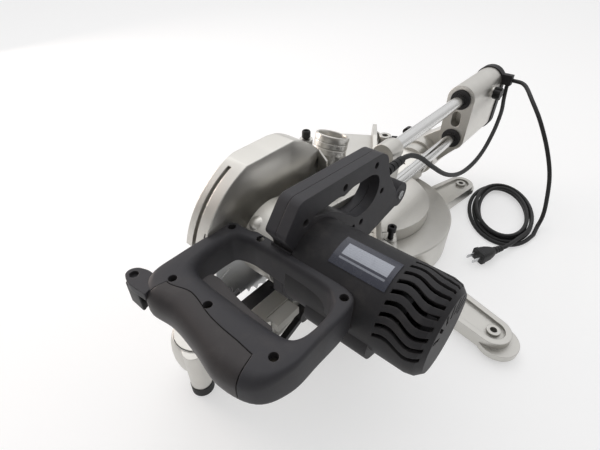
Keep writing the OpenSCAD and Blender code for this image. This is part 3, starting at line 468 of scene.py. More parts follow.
@dataclass
class Nodes:
    """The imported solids, and the finish that each one wears."""

    finishes: Finishes
    wear: dict[str, str] = field(default_factory=lambda: {
        "cast_base": "base_casting base_legs wing_left wing_right fence_left fence_right turntable",
        "cast_head": "rail_holder carriage rail_collars head_casting upper_guard dust_port",
        "guard_sheet": "lower_guard",
        "handle_plastic": "carry_handle_left carry_handle_right loop_handle grip_cover trigger lock_off_lever",
        "motor_plastic": "motor_housing switch_block brushes end_plate cord_clip kerf_plate_left kerf_plate_right",
        "knob_plastic": "vise_knob mitre_lock_lever slide_lock_knob bevel_lock_lever depth_stop_knob",
        "black_screw": "fence_bolts handle_screws blade_bolt armature",
        "pale_plastic": "mitre_pointer",
        "fan_plastic": "cooling_fan",
        "rail_steel": "upper_rail lower_rail",
        "turned_steel": "table_pivot_pin bevel_pin chop_pin bearings blade_flanges spindle "
                        "spindle_gear motor_pinion",
        "blade_steel": "blade",
        "bronze_bush": "rail_bushings",
        "foot_rubber": "rubber_feet arm_foot rail_seals cord_gland cord_plug cord_lead cord_drop cord_coil",
        "plate_foil": "rating_plate",
        "motor_winding": "stator",
    })

    def dress(self) -> None:
        """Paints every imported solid."""
        for finish, names in self.wear.items():
            for name in names.split():
                self.finishes.paint(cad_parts[name], finish)
                LOG.info("%s wears %s", name, finish)


class Shape:
    """A new piece while it is being modelled, in millimetres."""

    def __init__(self) -> None:
        """Starts with nothing."""
        self.bm = bmesh.new()

    def ring(self, points: list[Vector]) -> list[bmesh.types.BMEdge]:
        """Adds a closed ring of edges through the points."""
        verts = [self.bm.verts.new(point) for point in points]
        return [self.bm.edges.new(pair) for pair in zip(verts, verts[1:] + verts[:1])]

    def loft(self, rings: list[list[Vector]], closed: bool = False) -> None:
        """Bridges rings one after another.

        Args:
            rings: the rings in order, all with as many points.
            closed: whether the last ring joins the first; if not, both ends are capped.
        """
        loops = [self.ring(points) for points in rings]
        for first, second in zip(loops, loops[1:] + loops[:1] if closed else loops[1:]):
            bmesh.ops.bridge_loops(self.bm, edges=first + second)
        if not closed:
            for end in (loops[0], loops[-1]):
                bmesh.ops.contextual_create(self.bm, geom=end)

    def outline(self, corners: list[tuple[Vector, float]]) -> list[bmesh.types.BMEdge]:
        """Adds one closed flat outline with rounded corners.

        Args:
            corners: each corner and how far along its sides the rounding starts.

        Returns:
            The edges of the outline.
        """
        face = self.bm.faces.new([self.bm.verts.new(point) for point, _ in corners])
        for vert, (_, reach) in zip(list(face.verts), corners):
            if reach > 0:
                bmesh.ops.bevel(self.bm, geom=[vert], offset=reach, offset_type="OFFSET", affect="VERTICES",
                                segments=6, profile=0.5, material=-1)
        face = next(f for f in self.bm.faces)
        edges = list(face.edges)
        bmesh.ops.delete(self.bm, geom=[face], context="FACES_ONLY")
        return edges

    def prism(self, axis: int, level: float, rise: float, *outlines: Corners) -> None:
        """Raises flat outlines into a solid, the first as its outside and the others as holes.

        Args:
            axis: the axis that the outlines lie across, from 0 to 2.
            level: where along it they lie.
            rise: how far along it they are raised.
            *outlines: their corners in the other two axes, each with its rounding.
        """
        edges = []
        for corners in outlines:
            edges += self.outline([(Vector((*at[:axis], level, *at[axis:])), reach) for at, reach in corners])
        filled = bmesh.ops.triangle_fill(self.bm, edges=edges, use_beauty=True)["geom"]
        faces = [g for g in filled if isinstance(g, bmesh.types.BMFace)]
        raised = bmesh.ops.extrude_face_region(self.bm, geom=faces)["geom"]
        lift = Vector([rise if k == axis else 0.0 for k in range(3)])
        bmesh.ops.translate(self.bm, vec=lift, verts=[g for g in raised if isinstance(g, bmesh.types.BMVert)])
        bmesh.ops.recalc_face_normals(self.bm, faces=self.bm.faces)

    def round_rim(self, axis: int, level: float, reach: float, segments: int) -> None:
        """Rounds the sharp edges that lie at one level along an axis."""
        rim = [e for e in self.bm.edges if e.is_manifold and e.calc_face_angle() > SHARP
               and all(abs(v.co[axis] - level) < LEVEL_MM for v in e.verts)]
        bmesh.ops.bevel(self.bm, geom=rim, offset=reach, offset_type="OFFSET", affect="EDGES", segments=segments,
                        profile=0.5, material=-1, clamp_overlap=True)

    def turn(self, foot: Point, way: Point, profile: tuple[Flat, ...], steps: int = 48) -> None:
        """Turns a closed profile round an axis.

        Args:
            foot: where the axis starts.
            way: the axis's direction.
            profile: closed ring of radius and height above the foot.
            steps: flats round the axis.
        """
        place = Matrix.Translation(foot) @ Vector(way).to_track_quat("Z", "Y").to_matrix().to_4x4()
        edges = self.ring([place @ Vector((radius, 0.0, height)) for radius, height in profile])
        verts = list(dict.fromkeys(v for e in edges for v in e.verts))
        bmesh.ops.spin(self.bm, geom=verts + edges, cent=Vector(foot), axis=Vector(way).normalized(), angle=2 * math.pi,
                       steps=steps, use_merge=True, use_duplicate=False)

    def post(self, start: Point, end: Point, radius: float, segments: int = 32) -> None:
        """Adds a plain round post, used to cut a hole."""
        line = Vector(end) - Vector(start)
        place = Matrix.Translation(Vector(start) + line / 2) @ line.to_track_quat("Z", "Y").to_matrix().to_4x4()
        bmesh.ops.create_cone(self.bm, cap_ends=True, segments=segments, radius1=radius, radius2=radius,
                              depth=line.length, matrix=place)

    def block(self, low: Point, high: Point) -> None:
        """Adds a plain block, used to cut a pocket."""
        size = Vector(high) - Vector(low)
        place = Matrix.Translation(Vector(low) + size / 2) @ Matrix.Diagonal((*size, 1.0))
        bmesh.ops.create_cube(self.bm, size=1.0, matrix=place)

    def piece(self, name: str) -> bpy.types.Object:
        """Returns the shape as an object at the origin, in metres."""
        bmesh.ops.remove_doubles(self.bm, verts=self.bm.verts, dist=MERGE_MM)
        bmesh.ops.recalc_face_normals(self.bm, faces=self.bm.faces)
        bmesh.ops.scale(self.bm, vec=(MM, MM, MM), verts=self.bm.verts)
        mesh = bpy.data.meshes.new(name)
        self.bm.to_mesh(mesh)
        self.bm.free()
        return add(name, mesh)


@dataclass
class Workshop:
    """Turns shapes into finished pieces of the saw."""

    finishes: Finishes
    crease: float = 0.6

    def carve(self, piece: bpy.types.Object, cutter: Shape) -> None:
        """Cuts a shape out of a piece."""
        tool = cutter.piece(piece.name + "_cut")
        cut = piece.modifiers.new("cut", "BOOLEAN")
        cut.object, cut.operation, cut.solver = tool, "DIFFERENCE", "EXACT"
        mesh = applied(piece)
        piece.modifiers.remove(cut)
        piece.data = mesh
        bpy.data.objects.remove(tool)

    def crisp(self, piece: bpy.types.Object) -> None:
        """Shades a piece smooth, with its sharp edges kept."""
        shape = bmesh.new()
        shape.from_mesh(piece.data)
        for face in shape.faces:
            face.smooth = True
            face.material_index = 0
        for edge in shape.edges:
            edge.smooth = edge.is_manifold and edge.calc_face_angle() < self.crease
        shape.to_mesh(piece.data)
        shape.free()

    def deliver(self, shape: Shape, name: str, finish: str, slot: Slot, body: Body, stands_for: str = "",
                cutter: Shape | None = None) -> bpy.types.Object:
        """Finishes a shape as a piece of the saw.

        Args:
            shape: the modelled shape.
            name: the piece's name.
            finish: the finish it wears.
            slot: the material slot for that finish; not used.
            body: the body it moves with.
            stands_for: names of the solids it replaces.
            cutter: what is cut out of it.

        Returns:
            The piece.
        """
        piece = shape.piece(name)
        if cutter:
            self.carve(piece, cutter)
        self.crisp(piece)
        self.finishes.paint(piece, finish)
        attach(piece, body.value)
        if stands_for:
            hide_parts(*stands_for.split())
        LOG.info("%s is made, %d faces", name, len(piece.data.polygons))
        return piece


def section(inner: Vector, outer: Vector, low: float, high: float, corners: tuple[Flat, ...], steps: int = 5
            ) -> list[Vector]:
    """Returns a ring across a bar: a box with four rounded corners.

    Args:
        inner: place of its inner side.
        outer: place of its outer side.
        low: level of its underside.
        high: level of its top.
        corners: reach across and up of each rounding: inner low, outer low, outer high, inner high.
        steps: points on each rounding, less one.

    Returns:
        The ring's points.
    """
    way = Vector((outer.x - inner.x, outer.y - inner.y, 0.0))
    width = way.length
    way.normalize()
    points = []
    for (side, rise, start), (across, up) in zip(((-1, -1, 180), (1, -1, 270), (1, 1, 0), (-1, 1, 90)), corners):
        middle = (0.0 if side < 0 else width) - side * across
        level = (low if rise < 0 else high) - rise * up
        for k in range(steps + 1):
            angle = math.radians(start + 90 * k / steps)
            place = Vector((inner.x, inner.y, 0.0)) + way * (middle + across * math.cos(angle))
            points.append(Vector((place.x, place.y, level + up * math.sin(angle))))
    return points


@dataclass(frozen=True)
class Station:
    """One place round the loop handle: its sides, the slope inside, the edge outside and the seam between."""

    outer: Flat
    inner: Flat
    dish: Flat
    edge: float
    seam: float = 0.5

    def numbers(self) -> Vector:
        """Returns all its numbers in a row."""
        return Vector((*self.outer, *self.inner, *self.dish, self.edge, self.seam))


@dataclass(frozen=True)
class Slab:
    """A flat piece: underside and top below the loop's top, rounding along its top edge, and its corners."""

    levels: Flat
    edge: float
    corners: Corners


@dataclass
class LoopHandle:
    """The loop handle, its grip cover, the trigger paddle, and the lock-off paddle under its lug."""

    workshop: Workshop
    low: float = 172.0
    high: float = 208.0
    steps: int = 7
    gap: float = 0.3
    lip: Flat = (0.5, 0.5)
    foot: Flat = (3.0, 3.0)
    grip_from: float = 9.42
    grip_to: float = 13.05
    end_clear: float = 0.04
    end_half: float = 0.008
    end_gap: float = 0.012
    stations: tuple[Station, ...] = (
        Station((10.5, -303), (30, -316), (7, 9), 3.5), Station((36, -299.5), (46, -311), (5, 9), 3),
        Station((60, -286.5), (60, -311), (5, 9), 3), Station((84, -299), (86, -311), (5, 9), 3),
        Station((140, -299.5), (134, -312), (5, 9), 3), Station((165, -305), (150, -317.5), (5, 9), 3.5),
        Station((170.5, -324), (157, -330), (5, 10), 3.5), Station((170.5, -358), (158, -350), (6, 11), 4),
        Station((169.5, -391), (155, -363), (9, 12), 6), Station((157, -417), (145, -369), (16, 13), 11, 0.40),
        Station((126, -426), (116, -371), (21, 14), 15, 0.49), Station((92, -420), (86, -371), (21, 14), 15, 0.46),
        Station((58, -416), (57, -371), (19, 14), 15, 0.55), Station((27, -418), (37, -369), (16, 13), 13, 0.42),
        Station((10, -402), (30, -361), (13, 12), 7), Station((8.3, -370), (27, -347), (10, 11), 3.5),
        Station((8.3, -328), (27, -328), (8, 10), 3.5),
    )
    screws: tuple[Flat, ...] = ((17.5, -309), (53, -303.5), (160, -312), (153.5, -391.5), (78.4, -391), (31.5, -392))
    screw_level: float = 200.5
    screw_bore: float = 4.1
    ear_bore: float = 4.2
    ear_depth: float = 6.0
    over: float = 3.0
    pocket: tuple[Point, Point] = ((42.0, -392.5, 178.0), (134.0, -352.0, 196.0))
    ear: Flat = (-1.0, -410.5)
    lug: Slab = Slab((10.5, 2.0), 1.2, (
        ((-10, -414.5), 5), ((-8.5, -404), 6), ((4, -399), 3), ((22, -398), 1), ((27, -418), 1), ((3, -420.5), 6),
    ))
    lever: Slab = Slab((33.5, 11.0), 1.5, (
        ((-8.5, -418.5), 4), ((-8.5, -404.5), 5), ((7.5, -401.5), 2), ((10.5, -409), 1), ((14.5, -418.5), 2),
    ))
    paddle: Slab = Slab((28.5, 13.0), 2.0, (
        ((43, -384), 4), ((40.5, -359), 5), ((54, -357.6), 5), ((92, -365), 14), ((127, -366), 2), ((131, -369.5), 2),
        ((120, -374), 6), ((64, -381), 6), ((52, -387), 4),
    ))

    def at(self, place: float) -> list[float]:
        """Returns the numbers of a place between stations, on a smooth closed line."""
        count = len(self.stations)
        k, t = int(place) % count, place - int(place)
        return list(between([self.stations[(k + i) % count].numbers() for i in (-1, 0, 1, 2)], t))

    def ring(self, place: float, grip: bool) -> list[Vector]:
        """Returns the section of the loop, or of the grip cover, at a place."""
        ox, oy, ix, iy, across, down, edge, seam = self.at(place)
        outer, inner = Vector((ox, oy)), Vector((ix, iy))
        covered = self.grip_from < place < self.grip_to
        split = outer.lerp(inner, seam)
        back = (inner - outer).normalized() * self.gap
        round_edge = (edge, edge)
        if grip:
            return section(split - back, outer, self.low, self.high, (self.lip, round_edge, round_edge, self.lip))
        if covered:
            return section(inner, split + back, self.low, self.high, (self.foot, self.lip, self.lip, (across, down)))
        return section(inner, outer, self.low, self.high, (self.foot, round_edge, round_edge, (across, down)))

    def places(self) -> list[float]:
        """Returns the places of the sections round the loop, with two close together at each end of the grip."""
        ends = (self.grip_from, self.grip_to)
        places = [k / self.steps for k in range(len(self.stations) * self.steps)]
        places = [p for p in places if all(abs(p - e) > self.end_clear for e in ends)]
        return sorted(places + [e + shift for e in ends for shift in (-self.end_half, self.end_half)])

    def cover(self) -> Shape:
        """Returns the grip cover, a little short of the loop at both ends."""
        inside = [p for p in self.places() if self.grip_from < p < self.grip_to]
        inside[0] += self.end_gap
        inside[-1] -= self.end_gap
        shape = Shape()
        shape.loft([self.ring(p, True) for p in inside])
        return shape

    def raised(self, slab: Slab) -> Shape:
        """Returns a flat piece at its levels, with its top edge rounded."""
        low, high = (self.high - level for level in slab.levels)
        shape = Shape()
        shape.prism(2, low, high - low, slab.corners)
        shape.round_rim(2, high, slab.edge, 3)
        return shape

    def build(self) -> None:
        """Makes the five pieces."""
        loop, bores, hole = Shape(), Shape(), Shape()
        loop.loft([self.ring(p, False) for p in self.places()], closed=True)
        for x, y in self.screws:
            bores.post((x, y, self.screw_level), (x, y, self.high + self.over), self.screw_bore)
        bores.block(*self.pocket)
        hole.post((*self.ear, self.high - self.ear_depth), (*self.ear, self.high + self.over), self.ear_bore)
        lug, lever, paddle = (self.raised(slab) for slab in (self.lug, self.lever, self.paddle))
        deliver, plastic = self.workshop.deliver, Slot.PLASTIC
        deliver(loop, "loop_handle_shell", "handle_plastic", plastic, Body.HEAD, "loop_handle", bores)
        deliver(lug, "lock_off_lug", "handle_plastic", plastic, Body.HEAD, "", hole)
        deliver(lever, "lock_off_paddle", "knob_plastic", plastic, Body.LOCK_OFF, "lock_off_lever")
        deliver(self.cover(), "grip_shell", "grip_plastic", plastic, Body.HEAD, "grip_cover")
        deliver(paddle, "trigger_paddle", "grip_plastic", plastic, Body.TRIGGER, "trigger")


@dataclass
class CarryHandle:
    """The carry handle, two mirrored shells with a seam down the middle."""

    workshop: Workshop
    near: float = 67.0
    middle: float = 79.5
    far: float = 92.0
    gap: float = 0.2
    edge: float = 4.6
    seam_edge: float = 0.5
    limit: float = -303.0
    motor: tuple[Flat, float] = ((-266.0, 178.0), 50.0)
    motor_turn: Flat = (-51.6, -222.5)
    lug: tuple[Flat, float] = ((-84.0, 163.0), 17.0)
    lug_turn: Flat = (137.6, -125.0)
    front: Corners = (
        ((-299.5, 206), 2), ((-300, 214), 3), ((-310.5, 231), 4), ((-288, 260.5), 6), ((-146, 251), 6),
        ((-133, 242), 6), ((-124, 212), 10),
    )
    under: tuple[Flat, float] = ((-150.0, 140.0), 10.0)
    opening: Corners = (
        ((-271, 235), 3), ((-226, 235), 5), ((-219, 231), 5), ((-205, 235), 6), ((-162, 232), 9), ((-147, 221), 8),
        ((-147, 200), 9), ((-162, 187), 8), ((-190, 186), 9), ((-214, 206), 10), ((-234, 221), 8),
    )
    screws: tuple[Flat, ...] = ((-281, 234), (-218, 241.5), (-158.5, 240.5), (-196, 175.5), (-179, 174), (-138, 197))
    recess: float = 5.0
    screw_bore: float = 4.1
    over: float = 4.0

    def outline(self) -> list[tuple[Flat, float]]:
        """Returns the corners of the outside: the front, round the lug, and round the motor clear of the loop."""
        lug, motor = arc(*self.lug, *self.lug_turn, 16), arc(*self.motor, *self.motor_turn, 34)
        round_motor = [((max(y, self.limit), z), 0.0) for y, z in motor]
        return [*self.front, *((place, 0.0) for place in lug), self.under, *round_motor]

    def shell(self, name: str, start: float, end: float, stands_for: str) -> None:
        """Makes one half, from the seam at start to the face at end."""
        shape = Shape()
        shape.prism(0, start, end - start, self.outline(), self.opening)
        shape.round_rim(0, end, self.edge, 5)
        shape.round_rim(0, start, self.seam_edge, 2)
        cutter = None
        if end > start:
            cutter = Shape()
            for y, z in self.screws:
                cutter.post((end - self.recess, y, z), (end + self.over, y, z), self.screw_bore)
        self.workshop.deliver(shape, name, "handle_plastic", Slot.PLASTIC, Body.HEAD, stands_for, cutter)

    def build(self) -> None:
        """Makes both halves."""
        self.shell("carry_shell_left", self.middle - self.gap, self.near, "carry_handle_left")
        self.shell("carry_shell_right", self.middle + self.gap, self.far, "carry_handle_right")


@dataclass
class Guard:
    """The upper guard with a flat side wall, so that the loop handle and the gear case stand clear of it."""

    workshop: Workshop
    axis: Flat = (-240.0, 160.0)
    radius: float = 107.7
    hub: float = 42.0
    roof: float = 261.8
    side: float = 11.5
    wall: float = 3.0
    edge: float = 0.8
    lap: float = 0.2
    back: float = -160.0
    cut: tuple[Point, Point] = ((11.3, -400.0, 90.0), (71.5, -160.0, 300.0))
    turns: Point = (163.5, 39.0, 20.0)
    step: tuple[Flat, ...] = ((11.0, 150.0), (24.3, 150.0), (24.3, 221.0), (12.0, 231.8), (11.0, 231.8))

    def build(self) -> None:
        """Makes the guard and its two walls."""
        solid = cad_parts["upper_guard"]
        shell = Shape()
        shell.bm.from_mesh(solid.data)
        bmesh.ops.transform(shell.bm, matrix=Matrix.Scale(1 / MM, 4) @ solid.matrix_world, verts=shell.bm.verts)
        bmesh.ops.remove_doubles(shell.bm, verts=shell.bm.verts, dist=MERGE_MM)
        cutter = Shape()
        cutter.block(*self.cut)
        self.workshop.deliver(shell, "guard_shell", "cast_head", Slot.CAST, Body.HEAD, "upper_guard", cutter)
        front, rear, low = self.turns
        rim = [*arc(self.axis, self.radius, front, rear, 40), *arc(self.axis, self.hub, low, front, 40)]
        wall = Shape()
        wall.prism(0, self.side - self.wall, self.wall, [((y, min(z, self.roof)), 0.0) for y, z in rim])
        wall.round_rim(0, self.side, self.edge, 2)
        self.workshop.deliver(wall, "guard_side_wall", "cast_head", Slot.CAST, Body.HEAD)
        step = Shape()
        step.prism(1, self.back - self.lap, self.wall, [(corner, 0.0) for corner in self.step])
        self.workshop.deliver(step, "guard_step_wall", "cast_head", Slot.CAST, Body.HEAD)


@dataclass
class SmallParts:
    """The sunk handle screws, the dust port, the depth stop bolt and the rounded nose of the front arm."""

    workshop: Workshop
    loop: LoopHandle
    carry: CarryHandle
    screw_radius: float = 3.5
    screw_ends: Flat = (-1.0, 0.8)
    chute: Point = (0.0, -131.0, 184.0)
    chute_way: Point = (0.0, 0.309, 0.951)
    chute_seat: float = 27.0
    port: tuple[Flat, ...] = (
        (18.2, 0), (23.4, 0), (22.4, 3), (22.2, 7), (21.6, 7.4), (21.6, 8.4), (22.2, 8.8), (22.2, 14.6), (21.6, 15),
        (21.6, 16), (22.2, 16.4), (22.3, 22.6), (21.6, 24), (20.2, 24.6), (19, 24), (18.4, 22),
    )
    stop: Flat = (-8.0, -160.0)
    stop_foot: float = 228.0
    bolt: tuple[Flat, ...] = (
        (0.4, 0), (2.4, 0), (2.4, 14), (4.6, 14.6), (5.3, 15.6), (5.3, 22), (4.7, 23.4), (3.4, 24), (2.9, 23),
        (2.4, 21), (0.4, 21),
    )
    nose_at: Point = (0.0, -362.5, 0.0)
    nose: tuple[Flat, ...] = (
        (30.2, 77), (32.2, 75), (34.4, 68), (35.4, 58), (35.2, 48), (33.4, 38), (29.4, 29), (24, 23.5), (21, 23.5),
        (25.5, 31), (28.5, 40), (30.2, 50), (30.3, 60), (29.6, 70),
    )

    def screws(self) -> None:
        """Sets one dark screw at the foot of every recess."""
        shape = Shape()
        low, high = (self.loop.screw_level + end for end in self.screw_ends)
        for x, y in self.loop.screws:
            shape.post((x, y, low), (x, y, high), self.screw_radius, 24)
        near, far = (self.carry.far - self.carry.recess + end for end in self.screw_ends)
        for y, z in self.carry.screws:
            shape.post((near, y, z), (far, y, z), self.screw_radius, 24)
        self.workshop.deliver(shape, "sunk_screws", "black_screw", Slot.STEEL, Body.HEAD, "handle_screws")

    def build(self) -> None:
        """Makes the small parts."""
        self.screws()
        port = Shape()
        seat = Vector(self.chute) + self.chute_seat * Vector(self.chute_way).normalized()
        port.turn(tuple(seat), self.chute_way, self.port)
        self.workshop.deliver(port, "port_ring", "cast_head", Slot.CAST, Body.HEAD, "dust_port")
        bolt = Shape()
        bolt.turn((*self.stop, self.stop_foot), (0.0, 0.0, 1.0), self.bolt, 32)
        self.workshop.deliver(bolt, "depth_stop_bolt", "knob_plastic", Slot.PLASTIC, Body.DEPTH_STOP, "depth_stop_knob")
        nose = Shape()
        nose.turn(self.nose_at, (0.0, 0.0, 1.0), self.nose, 64)
        self.workshop.deliver(nose, "arm_nose", "cast_base", Slot.CAST, Body.TABLE)


@dataclass
class Plug:
    """The moulded mains plug with its two flat pins."""

    workshop: Workshop
    start: Point = (210.0, 97.0, 11.6)
    way: Point = (-0.45, -0.893, 0.0)
    pin_gap: float = 6.35
    rows: tuple[Row, ...] = (
        (0, 4.3, 4.3, 4.2), (1, 5.0, 5.0, 4.9), (4, 5.2, 5.2, 5.1), (4.6, 4.4, 4.4, 4.3), (6.4, 4.4, 4.4, 4.3),
        (7, 5.5, 5.4, 5.3), (10, 5.7, 5.6, 5.5), (10.6, 4.7, 4.7, 4.6), (12.4, 4.8, 4.8, 4.7), (13, 6.0, 5.9, 5.8),
        (16, 6.3, 6.2, 6.0), (16.6, 5.4, 5.4, 5.2), (18.4, 5.8, 5.6, 5.4), (20, 7.2, 6.6, 6.2), (26, 9.6, 7.9, 6.4),
        (33, 11.4, 9.0, 6.0), (42, 12.0, 9.4, 5.0), (45, 12.1, 9.5, 4.6), (45.8, 12.9, 10.2, 4.6),
        (51, 12.9, 10.2, 4.4), (52, 12.2, 9.5, 4.0),
    )
    pin_rows: tuple[Row, ...] = (
        (50, 0.75, 3.15, 0.2), (67.4, 0.75, 3.15, 0.2), (69, 0.35, 2.2, 0.2),
    )

    def bar(self, shape: Shape, rows: tuple[Row, ...], shift: float, steps: int) -> None:
        """Adds a rounded bar along the plug.

        Args:
            shape: what it is added to.
            rows: distance along the plug, half width, half height and rounding of each section.
            shift: how far it stands to the side.
            steps: points on each rounding, less one.
        """
        way = Vector(self.way).normalized()
        side = Vector((-way.y, way.x, 0.0))
        rings = []
        for along, wide, tall, reach in rows:
            middle = Vector(self.start) + along * way + shift * side
            rings.append(section(middle - wide * side, middle + wide * side, middle.z - tall, middle.z + tall,
                                 ((reach, reach),) * 4, steps))
        shape.loft(rings)

    def build(self) -> list[bpy.types.Object]:
        """Makes the plug and its pins.

        Returns:
            The two pieces.
        """
        body, pins = Shape(), Shape()
        self.bar(body, self.rows, 0.0, 5)
        for shift in (-self.pin_gap, self.pin_gap):
            self.bar(pins, self.pin_rows, shift, 2)
        return [self.workshop.deliver(body, "plug_body", "cord_rubber", Slot.RUBBER, Body.BASE, "cord_plug"),
                self.workshop.deliver(pins, "plug_pins", "turned_steel", Slot.STEEL, Body.BASE)]


@dataclass
class CordRun:
    """The mains cord: a lead from the head to the clip, then a drop into the coil and the plug."""

    finishes: Finishes
    plug: Plug
    diameter: float = 7.0
    gap: float = 0.4
    gland_end: Point = (79.5, -69.6, 205.0)
    clip_under: Point = (84.0, 326.4, 195.6)
    clip_side: Point = (90.9, 326.4, 205.0)
    lead: tuple[Point, ...] = (
        (81, -45, 201), (86, -24, 190), (96, 2, 168), (105, 42, 140), (110, 90, 121), (112, 140, 116),
        (111, 190, 122), (107, 238, 142), (98, 286, 159), (88, 317, 172),
    )
    drop: tuple[Point, ...] = (
        (109, 323, 205), (121, 311, 203), (141, 284, 194), (169, 261, 171), (198, 244, 134), (220, 231, 94),
        (233, 222, 50), (238, 214, 24), (238, 201, 8),
    )
    lead_bend: tuple[Point, Point] = ((112, 140, 116), (80, -60, 204))
    tail: Flat = (219.5, 125.0)
    coil_turns: int = 4
    coil_over: float = 1 / 24
    coil_out: float = 0.3
    coil_room: Flat = (1.4, 0.9)
    coil_lift: float = 0.2
    coil_phase: float = 40.0
    coil_mid: Flat = (172.0, 209.0)
    coil_half: Flat = (52.0, 90.0)
    coil_lean: tuple[Flat, Flat] = ((0.945, 0.33), (-0.33, 0.945))
    steps: int = 8
    coil_steps: int = 48

    def spline(self, points: list[Vector]) -> list[Vector]:
        """Returns a smooth line through the points, as the solids have it."""
        line = []
        last = len(points) - 1
        for k in range(last):
            knots = [points[min(max(k + i, 0), last)] for i in (-1, 0, 1, 2)]
            line += [between(knots, j / self.steps) for j in range(self.steps)]
        return line + [points[last]]

    def coil_at(self, turns: float) -> Vector:
        """Returns the cord's centre after a number of turns, in millimetres."""
        pitch, climb = (self.diameter + room for room in self.coil_room)
        turn_in = self.coil_turns / 2 + 0.5
        shift = pitch * (turns - 1 if turns < turn_in else max(2 * turn_in - 1 - turns, -self.coil_out))
        rise = max(0.0, min(1.0, 2 * (turns - turn_in) + 0.5))
        angle = -2 * math.pi * turns - math.radians(self.coil_phase)
        across = (self.coil_half[0] - shift) * math.cos(angle)
        along = (self.coil_half[1] - shift) * math.sin(angle)
        flat = [self.coil_mid[i] + across * self.coil_lean[0][i] + along * self.coil_lean[1][i] for i in (0, 1)]
        return Vector((*flat, self.diameter / 2 + self.coil_lift + climb * rise * rise * (3 - 2 * rise)))

    def lead_line(self) -> list[Vector]:
        """Returns the lead's centre line from the gland to the clip, in metres."""
        start, end = Vector(self.gland_end), Vector(self.clip_under)
        knots = [start + Vector((0, self.diameter, 0)), *map(Vector, self.lead), end - Vector((0, 0, self.diameter))]
        return [p * MM for p in [start, *self.spline(knots), end]]

    def main_line(self) -> list[Vector]:
        """Returns the centre line from the clip through the coil to the plug, in metres."""
        way = (self.coil_at(0.01) - self.coil_at(0)).normalized()
        foot = self.coil_at(0) - self.diameter * way
        start = Vector(self.clip_side)
        last = foot - (self.gap + self.diameter) * way
        knots = [start + Vector((self.diameter, 0, 0)), *map(Vector, self.drop), last]
        count = int((self.coil_turns + self.coil_over) * self.coil_steps)
        coil = [self.coil_at(k / self.coil_steps) for k in range(count + 1)]
        end = Vector(self.plug.start)
        tail = [coil[-1], Vector((*self.tail, end.z)), end - self.diameter * Vector(self.plug.way).normalized()]
        return [p * MM for p in [start, *self.spline(knots), foot, *coil, *self.spline(tail)[1:], end]]

    def tube(self, name: str, line: list[Vector]) -> bpy.types.Object:
        """Returns a round mesh tube along a line.

        Args:
            name: the piece's name.
            line: its centre line in metres.

        Returns:
            The tube.
        """
        curve = bpy.data.curves.new(name, "CURVE")
        curve.dimensions = "3D"
        curve.bevel_depth = self.diameter / 2 * MM
        curve.bevel_resolution = 5
        curve.use_fill_caps = True
        spline = curve.splines.new("POLY")
        spline.points.add(len(line) - 1)
        for point, place in zip(spline.points, line):
            point.co = (*place, 1.0)
        shape = add(name, curve)
        mesh = applied(shape)
        bpy.data.objects.remove(shape)
        mesh.polygons.foreach_set("use_smooth", [True] * len(mesh.polygons))
        return add(name, mesh)

    def build(self) -> None:
        plug = self.plug.build()
        for name, line, replaced, lay, far_end in (
            ("cord_lead_tube", self.lead_line(), ("cord_lead",), "hanging", "object"),
            ("cord_main_tube", self.main_line(), ("cord_drop", "cord_coil"), "coiled", "plug"),
        ):
            piece = self.tube(name, line)
            self.finishes.paint(piece, "cord_rubber")
            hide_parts(*replaced)
            length = sum((b - a).length for a, b in zip(line, line[1:]))
            lead = far_end == "object"
            if lead:
                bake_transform(piece)
            else:
                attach(piece, Body.BASE.value)
            LOG.info("%s is %.3f m long", name, length)


@dataclass(frozen=True)
class Lamp:
    """One soft square lamp: where it hangs and what it faces in metres, its side, watts and colour."""

    name: str
    place: Point
    aim: Point
    size: float
    power: float
    tint: Point

    def build(self) -> None:
        """Hangs the lamp."""
        data = bpy.data.lights.new(self.name, "AREA")
        data.shape = "SQUARE"
        data.size = self.size
        data.energy = self.power
        data.color = self.tint
        lamp = add(self.name, data)
        lamp.location = self.place
        face_along(lamp, Vector(self.aim) - Vector(self.place))


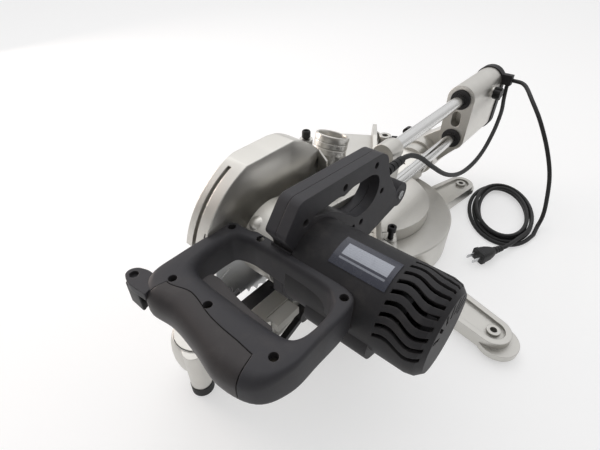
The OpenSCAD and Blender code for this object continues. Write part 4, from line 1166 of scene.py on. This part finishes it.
@dataclass
class Studio:
    """Camera at the photograph's place, a pale floor and soft lights."""

    place: Point = (277.7, -508.0, 468.0)
    azimuth: float = 40.34
    elevation: float = 38.85
    lens_px: float = 403.45
    image_px: int = 600
    sensor: float = 36.0
    clip: Flat = (0.01, 50.0)
    dim: Point = (0.20, 0.19, 0.18)
    bright: Point = (0.92, 0.92, 0.93)
    bright_way: Point = (-0.35, 0.50, 0.80)
    half_floor: float = 30.0
    backdrop: float = 9.0
    floor_level: float = -0.0005
    glow: Point = (0.50, 0.50, 0.50)
    paper: tuple[Point, Point] = ((0.53, 0.53, 0.53), (0.56, 0.56, 0.56))
    lamps: tuple[Lamp, ...] = (
        Lamp("key", (-0.8, 0.5, 1.7), (0.05, -0.1, 0.1), 1.6, 6.0, (1.0, 1.0, 1.0)),
        Lamp("sheen", (-1.6, -0.5, 0.55), (0.08, -0.4, 0.2), 0.8, 13.0, (1.0, 0.86, 0.78)),
    )

    def camera(self) -> None:
        """Makes the camera."""
        data = bpy.data.cameras.new("photo_camera")
        data.sensor_width = self.sensor
        data.lens = self.lens_px / self.image_px * self.sensor
        data.clip_start, data.clip_end = self.clip
        camera = add("photo_camera", data)
        a, e = math.radians(self.azimuth), math.radians(self.elevation)
        way = Vector((-math.sin(a) * math.cos(e), math.cos(a) * math.cos(e), -math.sin(e)))
        camera.location = mm(self.place)
        face_along(camera, way)
        bpy.context.scene.camera = camera

    def floor(self) -> None:
        """Makes the floor and a low backdrop far round it, near white to the camera, with the saw's shadow."""
        mesh = bpy.data.meshes.new("floor")
        shape = bmesh.new()
        bmesh.ops.create_grid(shape, x_segments=1, y_segments=1, size=self.half_floor)
        wall = bmesh.ops.extrude_edge_only(shape, edges=shape.edges[:])["geom"]
        top = [g for g in wall if isinstance(g, bmesh.types.BMVert)]
        bmesh.ops.translate(shape, vec=(0, 0, self.backdrop), verts=top)
        shape.to_mesh(mesh)
        shape.free()
        floor = add("floor", mesh)
        g = Graph("floor_paper")
        speck = g.noise(g.place(), 300.0, 2.0)
        path = g.make("ShaderNodeLightPath")
        glow = g.mix(path[0] + path[3] + path[6], (0.0, 0.0, 0.0), self.glow)
        paper = g.surface(Base_Color=g.mix(speck, *self.paper), Roughness=0.9, Specular_IOR_Level=0.1,
                          Emission_Color=glow, Emission_Strength=1.0)
        floor.data.materials.append(paper)
        floor.location.z = self.floor_level

    def world(self) -> None:
        """Gives the room a soft light, pale above and behind and dim in front."""
        g = Graph("room", room=True)
        way = g.make("ShaderNodeTexCoord")[0]
        facing = {0: way, 1: Vector(self.bright_way).normalized()}
        share = g.make("ShaderNodeVectorMath", {"operation": "DOT_PRODUCT"}, facing)[1].ease(0.0, 0.8)
        shade = g.mix(share, self.dim, self.bright)
        light = g.make("ShaderNodeBackground", None, {"Color": shade, "Strength": 1.0})[0]
        g.make("ShaderNodeOutputWorld", None, {"Surface": light})
        bpy.context.scene.world = g.owner

    def build(self) -> None:
        """Sets up the whole studio."""
        bpy.context.scene.view_settings.view_transform = "Standard"
        self.camera()
        self.floor()
        self.world()
        for lamp in self.lamps:
            lamp.build()


def main() -> None:
    """Builds the classes in order."""
    logging.basicConfig(level=logging.WARNING)
    finishes = Finishes()
    Studio().build()
    Nodes(finishes).dress()
    workshop = Workshop(finishes)
    CordRun(finishes, Plug(workshop)).build()
    loop, carry = LoopHandle(workshop), CarryHandle(workshop)
    loop.build()
    carry.build()
    SmallParts(workshop, loop, carry).build()
    Guard(workshop).build()


if __name__ == "__main__":
    main()
